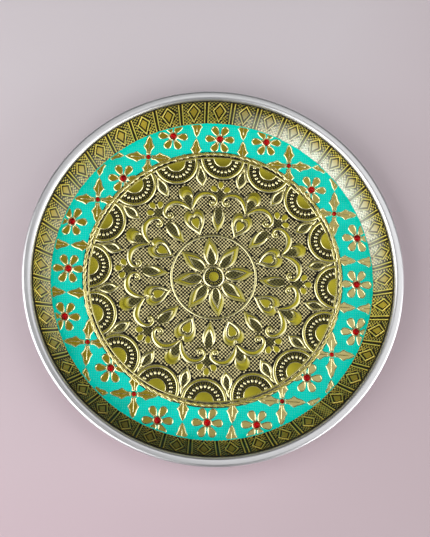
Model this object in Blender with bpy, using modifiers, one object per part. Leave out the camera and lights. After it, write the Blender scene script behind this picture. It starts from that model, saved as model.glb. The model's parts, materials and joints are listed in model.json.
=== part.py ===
"""Round pressed steel plate, lined with embossed foil and enamel.

The origin is the centre of the flat underside. +Z is up and +Y points away from the person
who holds the plate. Lengths are in metres and angles in degrees.
"""

import math

import bmesh
import bpy
from mathutils import Matrix, Vector

# Steel dish
PLATE_RADIUS = 0.140
PLATE_HEIGHT = 0.0215
STEEL = 0.0006
CORNER_RADIUS = 0.0040
WALL_ANGLE = 62.0
LIP_BEND_RADIUS = 0.0016
LIP_WIDTH = 0.0028
CURL_RADIUS = 0.0022
CURL_TURN = 275.0

# Layers on the floor, each lying on a film of glue or paint
FILM = 0.0003
FOIL = 0.0003
RELIEF = 0.0008
ENAMEL = 0.0003

# Medallion in the middle of the floor, and the band round it that holds the rope ring and the trellis
BAND_WIDTH = 0.0265
ROPE_GAP = 0.0006
ROPE_WIDTH = 0.0028
ROPE_HEIGHT = 0.0014
FOIL_EDGE_GAP = 0.0004
ENAMEL_MARGIN = 0.0007

# Trellis pattern: flowers on a square grid, crosses in the middle of its squares. The grid's third
# row of flowers stands this deep in the enamel, where it crosses the plate's axes.
TRELLIS_ROWS = 3
FLOWER_ROW_DEPTH = 0.0106
TRELLIS_TURN = -3.1
TRELLIS_REACH = TRELLIS_ROWS + 1
PETAL_LENGTH = 0.0112
PETAL_WIDTH = 0.0046
PETAL_WIDEST = 0.78
PETAL_LEAN = 28.0
FLOWER_HEART_RADIUS = 0.0033
ARM_SHOULDER = 0.0090
ARM_SHOULDER_WIDTH = 0.0080
ARM_NECK_WIDTH = 0.0030
ARM_WAIST = 0.0118
ARM_WAIST_WIDTH = 0.0044
ARM_END_GAP = 0.0008

# Drops of red enamel
DROP_RADIUS = 0.0023
SMALL_DROP_RADIUS = 0.0016
DROP_HEIGHT = 0.0011
DROP_SHOULDER = 42.0

# Border strip on the wall, with diamonds between ribs
STRIP_TOP_GAP = 0.0010
STRIP_FOOT_ANGLE = 5.0
STRIP_LAP_ANGLE = 1.6
SEAM_ANGLE = 310.0
DIAMOND_COUNT = 40
FIRST_DIAMOND = 5.3
DIAMOND_END_GAP = 0.0012
DIAMOND_WIDTH = 0.0092
DIAMOND_WAIST = 0.58
BORDER_RELIEF = 0.0006
RIB_WIDTH = 0.0036

# Rosette on the medallion, which grows with it: radii and widths are shares of its radius
ROSETTE_FOLD = 8
ROSETTE_TURN = -5.0
BOSS = 0.043
BOSS_RING = 0.083
PETAL_RING = 0.337
ROSETTE_RING_WIDTH = 0.0011
STAR_FOOT = 0.104
STAR_TIP = 0.317
STAR_SIDE = 0.057
HEART_TIP = 0.362
HEART_TOP = 0.566
HEART_SIDE = 0.078
LEAF_TIP = 0.365
LEAF_TOP = 0.564
LEAF_SIDE = 0.050
SCROLL_FOOT = 0.591
SCROLL_CREST = 0.699
SCROLL_BODY = 0.026
SCROLL_START_ANGLE = 2.4
SCROLL_END_ANGLE = 18.0
BUD_FOOT = 0.681
BUD_TIP = 0.781
BUD_SIDE = 0.062
TREFOIL_CENTRE = 0.740
TREFOIL_LOBE = 0.055
SPEAR_TIP = 0.750
SPEAR_FOOT = 0.963
SPEAR_SIDE = 0.045
FAN = 0.160

# Half outlines, as shares of a motif's length and half-width
STAR_SHAPE = ((0.0, 0.0), (0.25, 0.62), (0.5, 1.0), (0.75, 0.66), (1.0, 0.0))
HEART_SHAPE = ((0.0, 0.0), (0.5, 0.8), (0.77, 1.0), (0.96, 0.75), (1.0, 0.45), (0.87, 0.0))
LEAF_SHAPE = ((0.0, 0.0), (0.3, 0.75), (0.6, 1.0), (0.9, 0.6), (1.0, 0.0))
BUD_SHAPE = ((0.0, 1.0), (0.6, 0.8), (1.0, 0.0))
SPEAR_SHAPE = ((0.0, 0.0), (0.2, 0.7), (0.4, 1.0), (1.0, 0.25))
TREFOIL_SHAPE = ((0.7, -17.0), (1.0, 0.0), (0.7, 17.0))
TREFOIL_DIRECTIONS = (-70.0, 0.0, 70.0)
TREFOIL_HEEL = 0.45

# Points closer than this are one
MERGE = 0.00001

# Facets
STEPS = 64
DROP_STEPS = 8
CORNER_FACETS = 3
BEND_FACETS = 2
CURL_FACETS = 6
STRIP_CORNER_FACETS = 2
FAN_FACETS = 6
SCROLL_FACETS = 4

OBJECT_NAME = "enamel_plate"


# Points and outlines

def polar(radius, degrees):
    angle = math.radians(degrees)
    return (radius * math.cos(angle), radius * math.sin(angle))


def arc(centre, radius, start, end, count):
    points = []
    for i in range(count + 1):
        x, y = polar(radius, start + (end - start) * i / count)
        points.append((centre[0] + x, centre[1] + y))
    return points


def turned(points, degrees, shift=(0.0, 0.0)):
    angle = math.radians(degrees)
    c = math.cos(angle)
    s = math.sin(angle)
    return [(x * c - y * s + shift[0], x * s + y * c + shift[1]) for x, y in points]


def reflected(half):
    return half + [(x, -y) for x, y in reversed(half) if y > 0.0]


# Section of the dish

def wall_direction():
    return Vector(polar(1.0, WALL_ANGLE))


def lip_bend_centre():
    return Vector((PLATE_RADIUS - CURL_RADIUS - LIP_WIDTH, PLATE_HEIGHT - STEEL / 2 - LIP_BEND_RADIUS))


def wall_head():
    """Where the middle of the wall's sheet meets the bend under the lip."""
    return lip_bend_centre() + Vector(polar(LIP_BEND_RADIUS, WALL_ANGLE + 90.0))


def corner_centre():
    """Centre of the rounded corner between floor and wall, straight below the wall's head."""
    height = STEEL / 2 + CORNER_RADIUS
    foot_height = height - CORNER_RADIUS * wall_direction().x
    run = (wall_head().y - foot_height) / wall_direction().y * wall_direction().x
    return Vector((wall_head().x - run - CORNER_RADIUS * wall_direction().y, height))


def wall_foot(inside):
    """Where the wall leaves the corner, the given distance inside the middle of the sheet."""
    return corner_centre() + Vector(polar(CORNER_RADIUS - inside, WALL_ANGLE - 90.0))


def wall_length():
    return (wall_head() - wall_foot(0.0)).length


def dish_profile():
    """Middle of the sheet, from the centre of the floor to the end of the curl."""
    curl = CURL_RADIUS - STEEL / 2
    curl_centre = (PLATE_RADIUS - CURL_RADIUS, PLATE_HEIGHT - STEEL / 2 - curl)
    points = [(0.0, STEEL / 2)]
    points += arc(corner_centre(), CORNER_RADIUS, -90.0, WALL_ANGLE - 90.0, CORNER_FACETS)
    points += arc(lip_bend_centre(), LIP_BEND_RADIUS, WALL_ANGLE + 90.0, 90.0, BEND_FACETS)
    points += arc(curl_centre, curl, 90.0, 90.0 - CURL_TURN, CURL_FACETS)
    return points


def strip_section(inside):
    """Border strip's sheet, the given distance inside the middle of the dish's sheet."""
    start = STRIP_FOOT_ANGLE - 90.0
    lower = arc(corner_centre(), CORNER_RADIUS - inside, start, WALL_ANGLE - 90.0, STRIP_CORNER_FACETS)
    top = wall_foot(inside) + wall_direction() * (wall_length() - STRIP_TOP_GAP)
    return lower + [tuple(top)]


# Heights and radii that follow from the layers

FLOOR_RADIUS = corner_centre().x
MEDALLION_RADIUS = FLOOR_RADIUS - BAND_WIDTH
FOIL_BOTTOM = STEEL + FILM
FOIL_TOP = FOIL_BOTTOM + FOIL
RELIEF_ROOT = FOIL_TOP - FOIL / 2
RELIEF_TOP = FOIL_TOP + RELIEF
ENAMEL_BOTTOM = FOIL_TOP + FILM
ENAMEL_TOP = ENAMEL_BOTTOM + ENAMEL
ROPE_INNER = MEDALLION_RADIUS + ROPE_GAP
ROPE_OUTER = ROPE_INNER + ROPE_WIDTH
TRELLIS_INNER = MEDALLION_RADIUS + FOIL_EDGE_GAP
TRELLIS_OUTER = FLOOR_RADIUS - FILM
ENAMEL_INNER = ROPE_OUTER + FILM
ENAMEL_OUTER = TRELLIS_OUTER - FILM
TRELLIS_PITCH = (ENAMEL_INNER + FLOWER_ROW_DEPTH) / TRELLIS_ROWS
STRIP_MIDDLE = STEEL / 2 + FILM + FOIL / 2
STRIP_LENGTH = wall_length() - STRIP_TOP_GAP
DIAMOND_PITCH = (360.0 - 2 * FIRST_DIAMOND) / (DIAMOND_COUNT - 1)


# Motifs of the trellis, lying along +X and grown by a clearance where they cut the enamel

def flower_outline(grow):
    points = []
    half = PETAL_WIDTH / 2 + grow
    upper = (90.0 - PETAL_LEAN, 90.0 + PETAL_LEAN)
    lower = (270.0 - PETAL_LEAN, 270.0 + PETAL_LEAN)
    directions = (0.0, *upper, 180.0, *lower)
    for direction, following in zip(directions, directions[1:] + (360.0,)):
        widest = PETAL_LENGTH * PETAL_WIDEST
        petal = [(widest, -half), (PETAL_LENGTH + grow, 0.0), (widest, half)]
        points += turned(petal, direction)
        points.append(polar(FLOWER_HEART_RADIUS + grow, (direction + following) / 2))
    return points


def cross_outline(grow):
    shoulder = (ARM_SHOULDER, ARM_SHOULDER_WIDTH / 2 + grow)
    waist = (ARM_WAIST, ARM_WAIST_WIDTH / 2 + grow)
    end = (TRELLIS_PITCH / 2 - ARM_END_GAP + grow, 0.0)
    neck = (ARM_NECK_WIDTH / 2 + grow, ARM_NECK_WIDTH / 2 + grow)
    arm = [(shoulder[0], -shoulder[1]), (waist[0], -waist[1]), end, waist, shoulder, neck]
    points = []
    for direction in (0.0, 90.0, 180.0, 270.0):
        points += turned(arm, direction)
    return points


def grid_nodes(offset, inner, outer):
    """Places on the square grid between two radii; crosses sit half a pitch off the flowers."""
    steps = [i + offset for i in range(-TRELLIS_REACH, TRELLIS_REACH + 1)]
    grid = [(x * TRELLIS_PITCH, y * TRELLIS_PITCH) for x in steps for y in steps]
    return [place for place in turned(grid, TRELLIS_TURN) if inner < math.hypot(*place) < outer]


def flower_places():
    return grid_nodes(0.0, ENAMEL_INNER, ENAMEL_OUTER)


def cross_places():
    return grid_nodes(0.5, ENAMEL_INNER, ENAMEL_OUTER)


def part_cross_places():
    """Crosses whose arms alone reach over the enamel, from either side."""
    reach = TRELLIS_PITCH / 2
    inside = grid_nodes(0.5, ENAMEL_INNER - reach, ENAMEL_INNER)
    return inside + grid_nodes(0.5, ENAMEL_OUTER, ENAMEL_OUTER + reach)


def flower_outlines(grow):
    return [turned(flower_outline(grow), TRELLIS_TURN, place) for place in flower_places()]


def cross_outlines(grow):
    places = cross_places() + part_cross_places()
    return [turned(cross_outline(grow), TRELLIS_TURN, place) for place in places]


# Motifs of the rosette

def blade(shape, foot, tip, side):
    """Outline along +X from its half shape and the shares of the medallion that it spans."""
    start = foot * MEDALLION_RADIUS
    length = tip * MEDALLION_RADIUS - start
    return reflected([(start + length * along, side * MEDALLION_RADIUS * out) for along, out in shape])


def trefoil():
    lobe = TREFOIL_LOBE * MEDALLION_RADIUS
    points = [(-lobe * TREFOIL_HEEL, 0.0)]
    for direction in TREFOIL_DIRECTIONS:
        points += [polar(lobe * share, direction + lean) for share, lean in TREFOIL_SHAPE]
    return turned(points, 0.0, (TREFOIL_CENTRE * MEDALLION_RADIUS, 0.0))


def fan():
    """Half-round fan that stands on the medallion's edge."""
    edge = MEDALLION_RADIUS - FILM
    radius = FAN * MEDALLION_RADIUS
    chord = math.degrees(math.asin(radius / (2 * edge)))
    return arc((edge, 0.0), radius, 90.0 + chord, 270.0 - chord, FAN_FACETS)


def scroll(side):
    """Arched stem that leaves a heart's axis and ends beside the next leaf."""
    outer = []
    inner = []
    for i in range(SCROLL_FACETS + 1):
        share = i / SCROLL_FACETS
        angle = side * (SCROLL_START_ANGLE + (SCROLL_END_ANGLE - SCROLL_START_ANGLE) * share)
        rise = math.sin(math.pi * (1 + 6 * share) / 8)
        radius = SCROLL_FOOT + (SCROLL_CREST - SCROLL_FOOT) * rise
        outer.append(polar(MEDALLION_RADIUS * radius, angle))
        inner.append(polar(MEDALLION_RADIUS * (radius - SCROLL_BODY * (1 + rise) / 2), angle))
    return outer + list(reversed(inner))


def rosette_families():
    """Each motif with its outline, its count round the medallion and where the first one stands."""
    leaf_axis = ROSETTE_TURN
    heart_axis = ROSETTE_TURN + 180.0 / ROSETTE_FOLD
    between = ROSETTE_TURN + 90.0 / ROSETTE_FOLD
    return (
        ("star_petals", blade(STAR_SHAPE, STAR_FOOT, STAR_TIP, STAR_SIDE), ROSETTE_FOLD, between),
        ("hearts", blade(HEART_SHAPE, HEART_TIP, HEART_TOP, HEART_SIDE), ROSETTE_FOLD, heart_axis),
        ("leaves", blade(LEAF_SHAPE, LEAF_TIP, LEAF_TOP, LEAF_SIDE), ROSETTE_FOLD, leaf_axis),
        ("left_scrolls", scroll(1.0), ROSETTE_FOLD, heart_axis),
        ("right_scrolls", scroll(-1.0), ROSETTE_FOLD, heart_axis),
        ("buds", blade(BUD_SHAPE, BUD_FOOT, BUD_TIP, BUD_SIDE), ROSETTE_FOLD, heart_axis),
        ("trefoils", trefoil(), ROSETTE_FOLD, leaf_axis),
        ("spears", blade(SPEAR_SHAPE, SPEAR_TIP, SPEAR_FOOT, SPEAR_SIDE), 2 * ROSETTE_FOLD, between),
        ("fans", fan(), 2 * ROSETTE_FOLD, leaf_axis),
    )


# Scene and objects

def clear_scene():
    for obj in list(bpy.data.objects):
        bpy.data.objects.remove(obj, do_unlink=True)


def new_collection(name):
    collection = bpy.data.collections.new(name)
    bpy.context.scene.collection.children.link(collection)
    return collection


def material(name, colour, roughness, metallic):
    mat = bpy.data.materials.new(name)
    mat.use_nodes = True
    shader = mat.node_tree.nodes["Principled BSDF"]
    shader.inputs["Base Color"].default_value = (*colour, 1.0)
    shader.inputs["Roughness"].default_value = roughness
    shader.inputs["Metallic"].default_value = metallic
    return mat


def add_object(name, mesh, collection, mat=None):
    obj = bpy.data.objects.new(name, mesh)
    collection.objects.link(obj)
    if mat:
        mesh.materials.append(mat)
    return obj


def add_cutter(name, mesh, collection):
    obj = add_object(name, mesh, collection)
    obj.hide_render = True
    obj.display_type = "WIRE"
    return obj


def add_boolean(obj, other, operation):
    boolean = obj.modifiers.new(operation.title(), "BOOLEAN")
    boolean.operation = operation
    boolean.object = other
    boolean.solver = "EXACT"


def add_sheet(obj, thickness):
    sheet = obj.modifiers.new("Sheet", "SOLIDIFY")
    sheet.thickness = thickness
    sheet.offset = 0.0
    sheet.use_even_offset = True


def profile_mesh(name, points, closed):
    mesh = bpy.data.meshes.new(name)
    edges = [(i, i + 1) for i in range(len(points) - 1)]
    if closed:
        edges.append((len(points) - 1, 0))
    mesh.from_pydata([(radius, 0.0, height) for radius, height in points], edges, [])
    return mesh


def turn(obj, steps):
    screw = obj.modifiers.new("Turn", "SCREW")
    screw.axis = "Z"
    screw.angle = math.tau
    screw.steps = steps
    screw.render_steps = steps
    screw.use_merge_vertices = True
    screw.merge_threshold = MERGE
    screw.use_smooth_shade = True


def turn_between_facets(obj, steps):
    """Turned so that its corners stay clear of the edges of the disc that it stands on."""
    turn(obj, steps)
    obj.rotation_euler.z = math.pi / STEPS


def ring_mesh(name, inner, outer, bottom, top):
    return profile_mesh(name, [(inner, top), (outer, top), (outer, bottom), (inner, bottom)], closed=True)


def disc_mesh(name, radius, bottom, top):
    return profile_mesh(name, [(0.0, top), (radius, top), (radius, bottom), (0.0, bottom)], closed=False)


def outline_mesh(name, outlines, bottom, top):
    """Closed outlines filled and given thickness, as one mesh of separate solids."""
    curve = bpy.data.curves.new(name, "CURVE")
    curve.dimensions = "2D"
    curve.fill_mode = "BOTH"
    curve.extrude = (top - bottom) / 2
    for points in outlines:
        spline = curve.splines.new("POLY")
        spline.points.add(len(points) - 1)
        spline.use_cyclic_u = True
        for point, (x, y) in zip(spline.points, points):
            point.co = (x, y, 0.0, 1.0)
    holder = bpy.data.objects.new(name, curve)
    bpy.context.scene.collection.objects.link(holder)
    depsgraph = bpy.context.evaluated_depsgraph_get()
    mesh = bpy.data.meshes.new_from_object(holder.evaluated_get(depsgraph))
    bpy.data.objects.remove(holder)
    bpy.data.curves.remove(curve)
    bm = bmesh.new()
    bm.from_mesh(mesh)
    bmesh.ops.remove_doubles(bm, verts=bm.verts, dist=MERGE)
    bmesh.ops.recalc_face_normals(bm, faces=bm.faces)
    bmesh.ops.translate(bm, verts=bm.verts, vec=(0.0, 0.0, (top + bottom) / 2))
    bm.to_mesh(mesh)
    bm.free()
    return mesh


# Steel dish

def make_steel_dish(parts, mat):
    obj = add_object("steel_dish", profile_mesh("steel_dish", dish_profile(), closed=False), parts, mat)
    turn(obj, STEPS)
    add_sheet(obj, STEEL)


# Trellis foil and the enamel in its ground

def trellis_cutters(prefix, cutters, grow, bottom, top):
    """Flowers and crosses, trimmed so that the enamel keeps an unbroken margin on both sides."""
    trim = ENAMEL_MARGIN + FILM - grow
    name = prefix + "_band"
    band = ring_mesh(name, ENAMEL_INNER + trim, ENAMEL_OUTER - trim, bottom - FOIL, top + FOIL)
    keep = add_cutter(name, band, cutters)
    turn(keep, STEPS)
    made = []
    for kind, outlines in (("flowers", flower_outlines(grow)), ("crosses", cross_outlines(grow))):
        name = prefix + "_" + kind
        cutter = add_cutter(name, outline_mesh(name, outlines, bottom, top), cutters)
        add_boolean(cutter, keep, "INTERSECT")
        made.append(cutter)
    return made


def make_trellis_foil(parts, cutters, mat):
    mesh = ring_mesh("trellis_foil", TRELLIS_INNER, TRELLIS_OUTER, FOIL_BOTTOM, FOIL_TOP)
    obj = add_object("trellis_foil", mesh, parts, mat)
    turn(obj, STEPS)
    for relief in trellis_cutters("relief", cutters, 0.0, RELIEF_ROOT, RELIEF_TOP):
        add_boolean(obj, relief, "UNION")


def make_turquoise_enamel(parts, cutters, mat):
    mesh = ring_mesh("turquoise_enamel", ENAMEL_INNER, ENAMEL_OUTER, ENAMEL_BOTTOM, ENAMEL_TOP)
    obj = add_object("turquoise_enamel", mesh, parts, mat)
    turn(obj, STEPS)
    for gap in trellis_cutters("gap", cutters, FILM, ENAMEL_BOTTOM - FILM, ENAMEL_TOP + FILM):
        add_boolean(obj, gap, "DIFFERENCE")


# Rope ring, standing on the inner margin of the trellis foil

def make_rope_ring(parts, mat):
    bottom = FOIL_TOP + FILM
    half = ROPE_WIDTH / 2
    crown = []
    for degrees in (180.0, 120.0, 60.0, 0.0):
        x, y = polar(1.0, degrees)
        crown.append((ROPE_INNER + half * (1 + x), bottom + ROPE_HEIGHT * y))
    obj = add_object("rope_ring", profile_mesh("rope_ring", crown, closed=True), parts, mat)
    turn(obj, STEPS)


# Medallion

def make_medallion_foil(parts, cutters, mat):
    mesh = disc_mesh("medallion_foil", MEDALLION_RADIUS, FOIL_BOTTOM, FOIL_TOP)
    obj = add_object("medallion_foil", mesh, parts, mat)
    turn(obj, STEPS)
    for name, outline, count, first in rosette_families():
        outlines = [turned(outline, first + 360.0 * i / count) for i in range(count)]
        motifs = add_cutter(name, outline_mesh(name, outlines, RELIEF_ROOT, RELIEF_TOP), cutters)
        add_boolean(obj, motifs, "UNION")
    half = ROSETTE_RING_WIDTH / 2
    for name, share in (("petal_ring", PETAL_RING), ("boss_ring", BOSS_RING)):
        radius = share * MEDALLION_RADIUS
        mesh = ring_mesh(name, radius - half, radius + half, RELIEF_ROOT, RELIEF_TOP)
        ring = add_cutter(name, mesh, cutters)
        turn_between_facets(ring, STEPS // 2)
        add_boolean(obj, ring, "UNION")
    boss = add_cutter("boss", disc_mesh("boss", BOSS * MEDALLION_RADIUS, RELIEF_ROOT, RELIEF_TOP), cutters)
    turn_between_facets(boss, STEPS // 4)
    add_boolean(obj, boss, "UNION")


# Border strip

def on_wall(degrees):
    """Places a flat motif on the strip: its +Y up the wall, its +Z into the dish."""
    middle = wall_foot(STRIP_MIDDLE) + wall_direction() * STRIP_LENGTH / 2
    place = Matrix.Translation((middle.x, 0.0, middle.y))
    lean = Matrix.Rotation(-math.radians(WALL_ANGLE), 4, "Y") @ Matrix.Rotation(-math.pi / 2, 4, "Z")
    return Matrix.Rotation(math.radians(degrees), 4, "Z") @ place @ lean


def strip_motif(name, right_side):
    """Solid raised from the middle of the foil, from its right side and its reflection."""
    outline = right_side + [(-x, y) for x, y in reversed(right_side) if x > 0.0]
    return outline_mesh(name, [outline], 0.0, FOIL / 2 + BORDER_RELIEF)


def border_relief():
    """Diamonds round the strip with a rib between each two, apart from where the strip laps."""
    end = STRIP_LENGTH / 2 - DIAMOND_END_GAP
    waist = end * (2 * DIAMOND_WAIST - 1)
    diamond = strip_motif("diamond", [(0.0, -end), (DIAMOND_WIDTH / 2, waist), (0.0, end)])
    rib = strip_motif("rib", [(RIB_WIDTH / 2, -end), (RIB_WIDTH / 2, end)])
    bm = bmesh.new()
    for i in range(DIAMOND_COUNT):
        angle = SEAM_ANGLE + FIRST_DIAMOND + DIAMOND_PITCH * i
        add_placed(bm, diamond, on_wall(angle))
        if i < DIAMOND_COUNT - 1:
            add_placed(bm, rib, on_wall(angle + DIAMOND_PITCH / 2))
    mesh = bpy.data.meshes.new("border_relief")
    bm.to_mesh(mesh)
    bm.free()
    return mesh


def add_placed(bm, mesh, matrix):
    copy = mesh.copy()
    copy.transform(matrix)
    bm.from_mesh(copy)
    bpy.data.meshes.remove(copy)


def turn_verts(bm, verts, degrees):
    matrix = Matrix.Rotation(math.radians(degrees), 3, "Z")
    bmesh.ops.rotate(bm, verts=verts, cent=(0.0, 0.0, 0.0), matrix=matrix)


def edges_of(items):
    return [item for item in items if isinstance(item, bmesh.types.BMEdge)]


def height_of(vert):
    return vert.co.z


def strip_mesh():
    """Middle of the strip's foil, spun from the seam; its last stretch climbs over the first."""
    bm = bmesh.new()
    verts = [bm.verts.new((radius, 0.0, height)) for radius, height in strip_section(STRIP_MIDDLE)]
    edges = [bm.edges.new(pair) for pair in zip(verts, verts[1:])]
    turn_verts(bm, verts, SEAM_ANGLE)
    step = 360.0 / STEPS
    spun = bmesh.ops.spin(bm, geom=verts + edges, cent=(0.0, 0.0, 0.0), axis=(0.0, 0.0, 1.0),
                          angle=math.radians(360.0 - step), steps=STEPS - 1, use_merge=False)
    end = edges_of(spun["geom_last"])
    lapped = strip_section(STRIP_MIDDLE + FOIL + FILM)
    for degrees in (step / 2, step / 2 + STRIP_LAP_ANGLE):
        grown = bmesh.ops.extrude_edge_only(bm, edges=end)["geom"]
        end = edges_of(grown)
        moved = sorted((item for item in grown if isinstance(item, bmesh.types.BMVert)), key=height_of)
        turn_verts(bm, moved, degrees)
        for vert, (radius, height) in zip(moved, lapped):
            vert.co *= radius / vert.co.xy.length
            vert.co.z = height
    bmesh.ops.recalc_face_normals(bm, faces=bm.faces)
    mesh = bpy.data.meshes.new("border_strip")
    bm.to_mesh(mesh)
    bm.free()
    return mesh


def make_border_strip(parts, cutters, mat):
    obj = add_object("border_strip", strip_mesh(), parts, mat)
    add_sheet(obj, FOIL)
    add_boolean(obj, add_cutter("border_relief", border_relief(), cutters), "UNION")


# Drops of red enamel

def drop_mesh(radius):
    """Dome whose flat foot lies on a flower's or a cross's heart."""
    bottom = RELIEF_TOP + FILM
    x, y = polar(1.0, DROP_SHOULDER)
    points = [(0.0, bottom + DROP_HEIGHT), (radius * x, bottom + DROP_HEIGHT * y)]
    return profile_mesh("drop", points + [(radius, bottom), (0.0, bottom)], closed=False)


def make_drops(parts, mat, prefix, places, radius):
    for number, (x, y) in enumerate(places, start=1):
        obj = add_object("%s_%02d" % (prefix, number), drop_mesh(radius), parts, mat)
        turn(obj, DROP_STEPS)
        obj.location = (x, y, 0.0)


def main():
    clear_scene()
    parts = new_collection(OBJECT_NAME)
    cutters = new_collection("cutters")
    steel = material("polished_steel", (0.66, 0.66, 0.68), 0.2, 1.0)
    gold = material("gold_foil", (0.50, 0.42, 0.10), 0.3, 1.0)
    dark_gold = material("dark_gold_foil", (0.42, 0.38, 0.10), 0.3, 1.0)
    turquoise = material("turquoise_enamel", (0.0, 0.62, 0.55), 0.3, 0.0)
    red = material("red_enamel", (0.55, 0.0, 0.01), 0.15, 0.0)
    make_steel_dish(parts, steel)
    make_trellis_foil(parts, cutters, gold)
    make_turquoise_enamel(parts, cutters, turquoise)
    make_rope_ring(parts, gold)
    make_medallion_foil(parts, cutters, dark_gold)
    make_border_strip(parts, cutters, gold)
    make_drops(parts, red, "red_drop", flower_places(), DROP_RADIUS)
    make_drops(parts, red, "small_red_drop", cross_places(), SMALL_DROP_RADIUS)


main()
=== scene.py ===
"""The looks of a pressed steel plate that is lined with embossed foil and enamel.

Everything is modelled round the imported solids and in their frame: metres, +Z up, the origin in
the middle of the underside. Motifs are drawn in millimetres along +X, which points away from
the middle of what they belong to, and are then turned to their places.
"""

import json
import math

import bmesh
import bpy
from bpy.props import FloatProperty, FloatVectorProperty, IntProperty, PointerProperty
from mathutils import Matrix, Vector

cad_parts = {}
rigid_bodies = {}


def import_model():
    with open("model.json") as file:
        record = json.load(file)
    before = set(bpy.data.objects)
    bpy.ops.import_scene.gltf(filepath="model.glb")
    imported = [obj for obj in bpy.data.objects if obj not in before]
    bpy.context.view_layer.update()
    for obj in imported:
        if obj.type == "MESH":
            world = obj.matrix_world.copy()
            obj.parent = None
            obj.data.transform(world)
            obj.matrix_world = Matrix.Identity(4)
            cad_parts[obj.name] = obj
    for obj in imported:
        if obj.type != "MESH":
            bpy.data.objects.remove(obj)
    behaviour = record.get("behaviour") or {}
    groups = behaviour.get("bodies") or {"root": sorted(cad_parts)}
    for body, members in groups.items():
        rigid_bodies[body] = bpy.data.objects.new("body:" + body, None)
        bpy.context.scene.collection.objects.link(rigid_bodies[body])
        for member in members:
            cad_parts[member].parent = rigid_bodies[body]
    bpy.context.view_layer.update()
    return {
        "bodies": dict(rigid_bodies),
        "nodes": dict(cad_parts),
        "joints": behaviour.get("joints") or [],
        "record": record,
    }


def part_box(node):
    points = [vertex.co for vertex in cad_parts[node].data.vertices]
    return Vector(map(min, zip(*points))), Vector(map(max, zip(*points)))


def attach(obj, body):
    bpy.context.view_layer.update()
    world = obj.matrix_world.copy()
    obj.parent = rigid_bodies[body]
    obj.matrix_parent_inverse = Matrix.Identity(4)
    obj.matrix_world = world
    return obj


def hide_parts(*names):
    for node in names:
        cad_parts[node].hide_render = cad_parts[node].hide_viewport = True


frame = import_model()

bl_info = {
    "name": "Enamel Plate",
    "version": (1, 0, 0),
    "blender": (4, 5, 0),
    "location": "3D View > Sidebar > Plate",
    "description": "Models and finishes a steel plate lined with embossed foil and enamel",
    "category": "Object",
}

MM = 0.001
IMAGE_WIDTH = 430
ROUND_STEPS = 240


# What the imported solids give

def outer_radius(node):
    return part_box(node)[1].x


def bottom_of(node):
    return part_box(node)[0].z


def top_of(node):
    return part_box(node)[1].z


def middle_of(node):
    low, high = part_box(node)
    return ((low.x + high.x) / 2, (low.y + high.y) / 2)


def nodes_named(prefix):
    return sorted(name for name in frame["nodes"] if name.startswith(prefix))


FLOWER_PLACES = [middle_of(name) for name in nodes_named("red_drop_")]


def nearest_pair(places):
    return min(math.dist(a, b) for i, a in enumerate(places) for b in places[:i])


def hex_colour(code):
    """Linear RGBA of an sRGB hex code."""
    channels = [int(code[i:i + 2], 16) / 255 for i in (0, 2, 4)]
    linear = [c / 12.92 if c <= 0.04045 else ((c + 0.055) / 1.055) ** 2.4 for c in channels]
    return (*linear, 1.0)


# Properties

def length(name, description, default):
    return FloatProperty(name=name, description=description, default=default, unit="LENGTH", precision=5)


def angle(name, description, degrees):
    return FloatProperty(name=name, description=description, default=math.radians(degrees), subtype="ANGLE")


def colour(name, description, code):
    return FloatVectorProperty(name=name, description=description, default=hex_colour(code), subtype="COLOR",
                               size=4, min=0.0, max=1.0)


class DishSizes(bpy.types.PropertyGroup):
    radius: length("Radius", "Outside radius of the rolled rim", outer_radius("steel_dish"))
    height: length("Height", "Height of the rim over the underside", top_of("steel_dish"))
    sheet: length("Sheet", "Thickness of the steel", 0.6 * MM)
    corner: length("Corner", "Radius of the fold between floor and wall", 4.0 * MM)
    bend: length("Bend", "Radius of the bend between wall and lip", 3.0 * MM)
    lip: length("Lip", "Width of the flat lip", 1.95 * MM)
    curl: length("Curl", "Radius of the rolled edge", 2.2 * MM)
    curl_turn: angle("Curl turn", "How far the edge is rolled", 275.0)
    wall_angle: angle("Wall angle", "Lean of the wall from level", 62.0)
    strip_lift: length("Strip lift", "Middle of the border foil over the middle of the steel", 0.75 * MM)
    strip_foot: angle("Strip foot", "Where round the fold the border foil starts", 5.0)
    strip_top_gap: length("Strip top gap", "Bare steel between the border foil and the lip's bend", 1.0 * MM)


class FoilSizes(bpy.types.PropertyGroup):
    foil: length("Foil", "Thickness of the foil", 0.3 * MM)
    relief: length("Relief", "Height of the motifs over the ground", 0.8 * MM)
    # The real studs are 1.15 mm apart, which is too fine to show in the render
    stud: length("Stud pitch", "Spacing of the ground's studs along a row", 1.35 * MM)
    stud_rise: length("Stud rise", "Height of the ground's studs", 0.42 * MM)
    # The weave is drawn a little coarser than the real one, so that it shows in the render
    weave: length("Weave", "Spacing of the weave that shows through the enamel", 1.2 * MM)
    weave_rise: length("Weave rise", "Height of the weave that shows through the enamel", 0.12 * MM)
    medallion: length("Medallion", "Radius of the medallion", outer_radius("medallion_foil"))
    trellis_outer: length("Trellis outer", "Outer radius of the trellis foil", outer_radius("trellis_foil"))
    trellis_pitch: length("Trellis pitch", "Spacing of the flowers", nearest_pair(FLOWER_PLACES))
    trellis_turn: angle("Trellis turn", "Turn of the trellis from the plate's axes", -3.1)
    rosette_turn: angle("Rosette turn", "Turn of the medallion's first leaf", -5.0)
    rosette_fold: IntProperty(name="Rosette fold", description="Leaves round the medallion", default=8)
    beads: IntProperty(name="Beads", description="Beads in each fan of the medallion", default=11)


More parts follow.
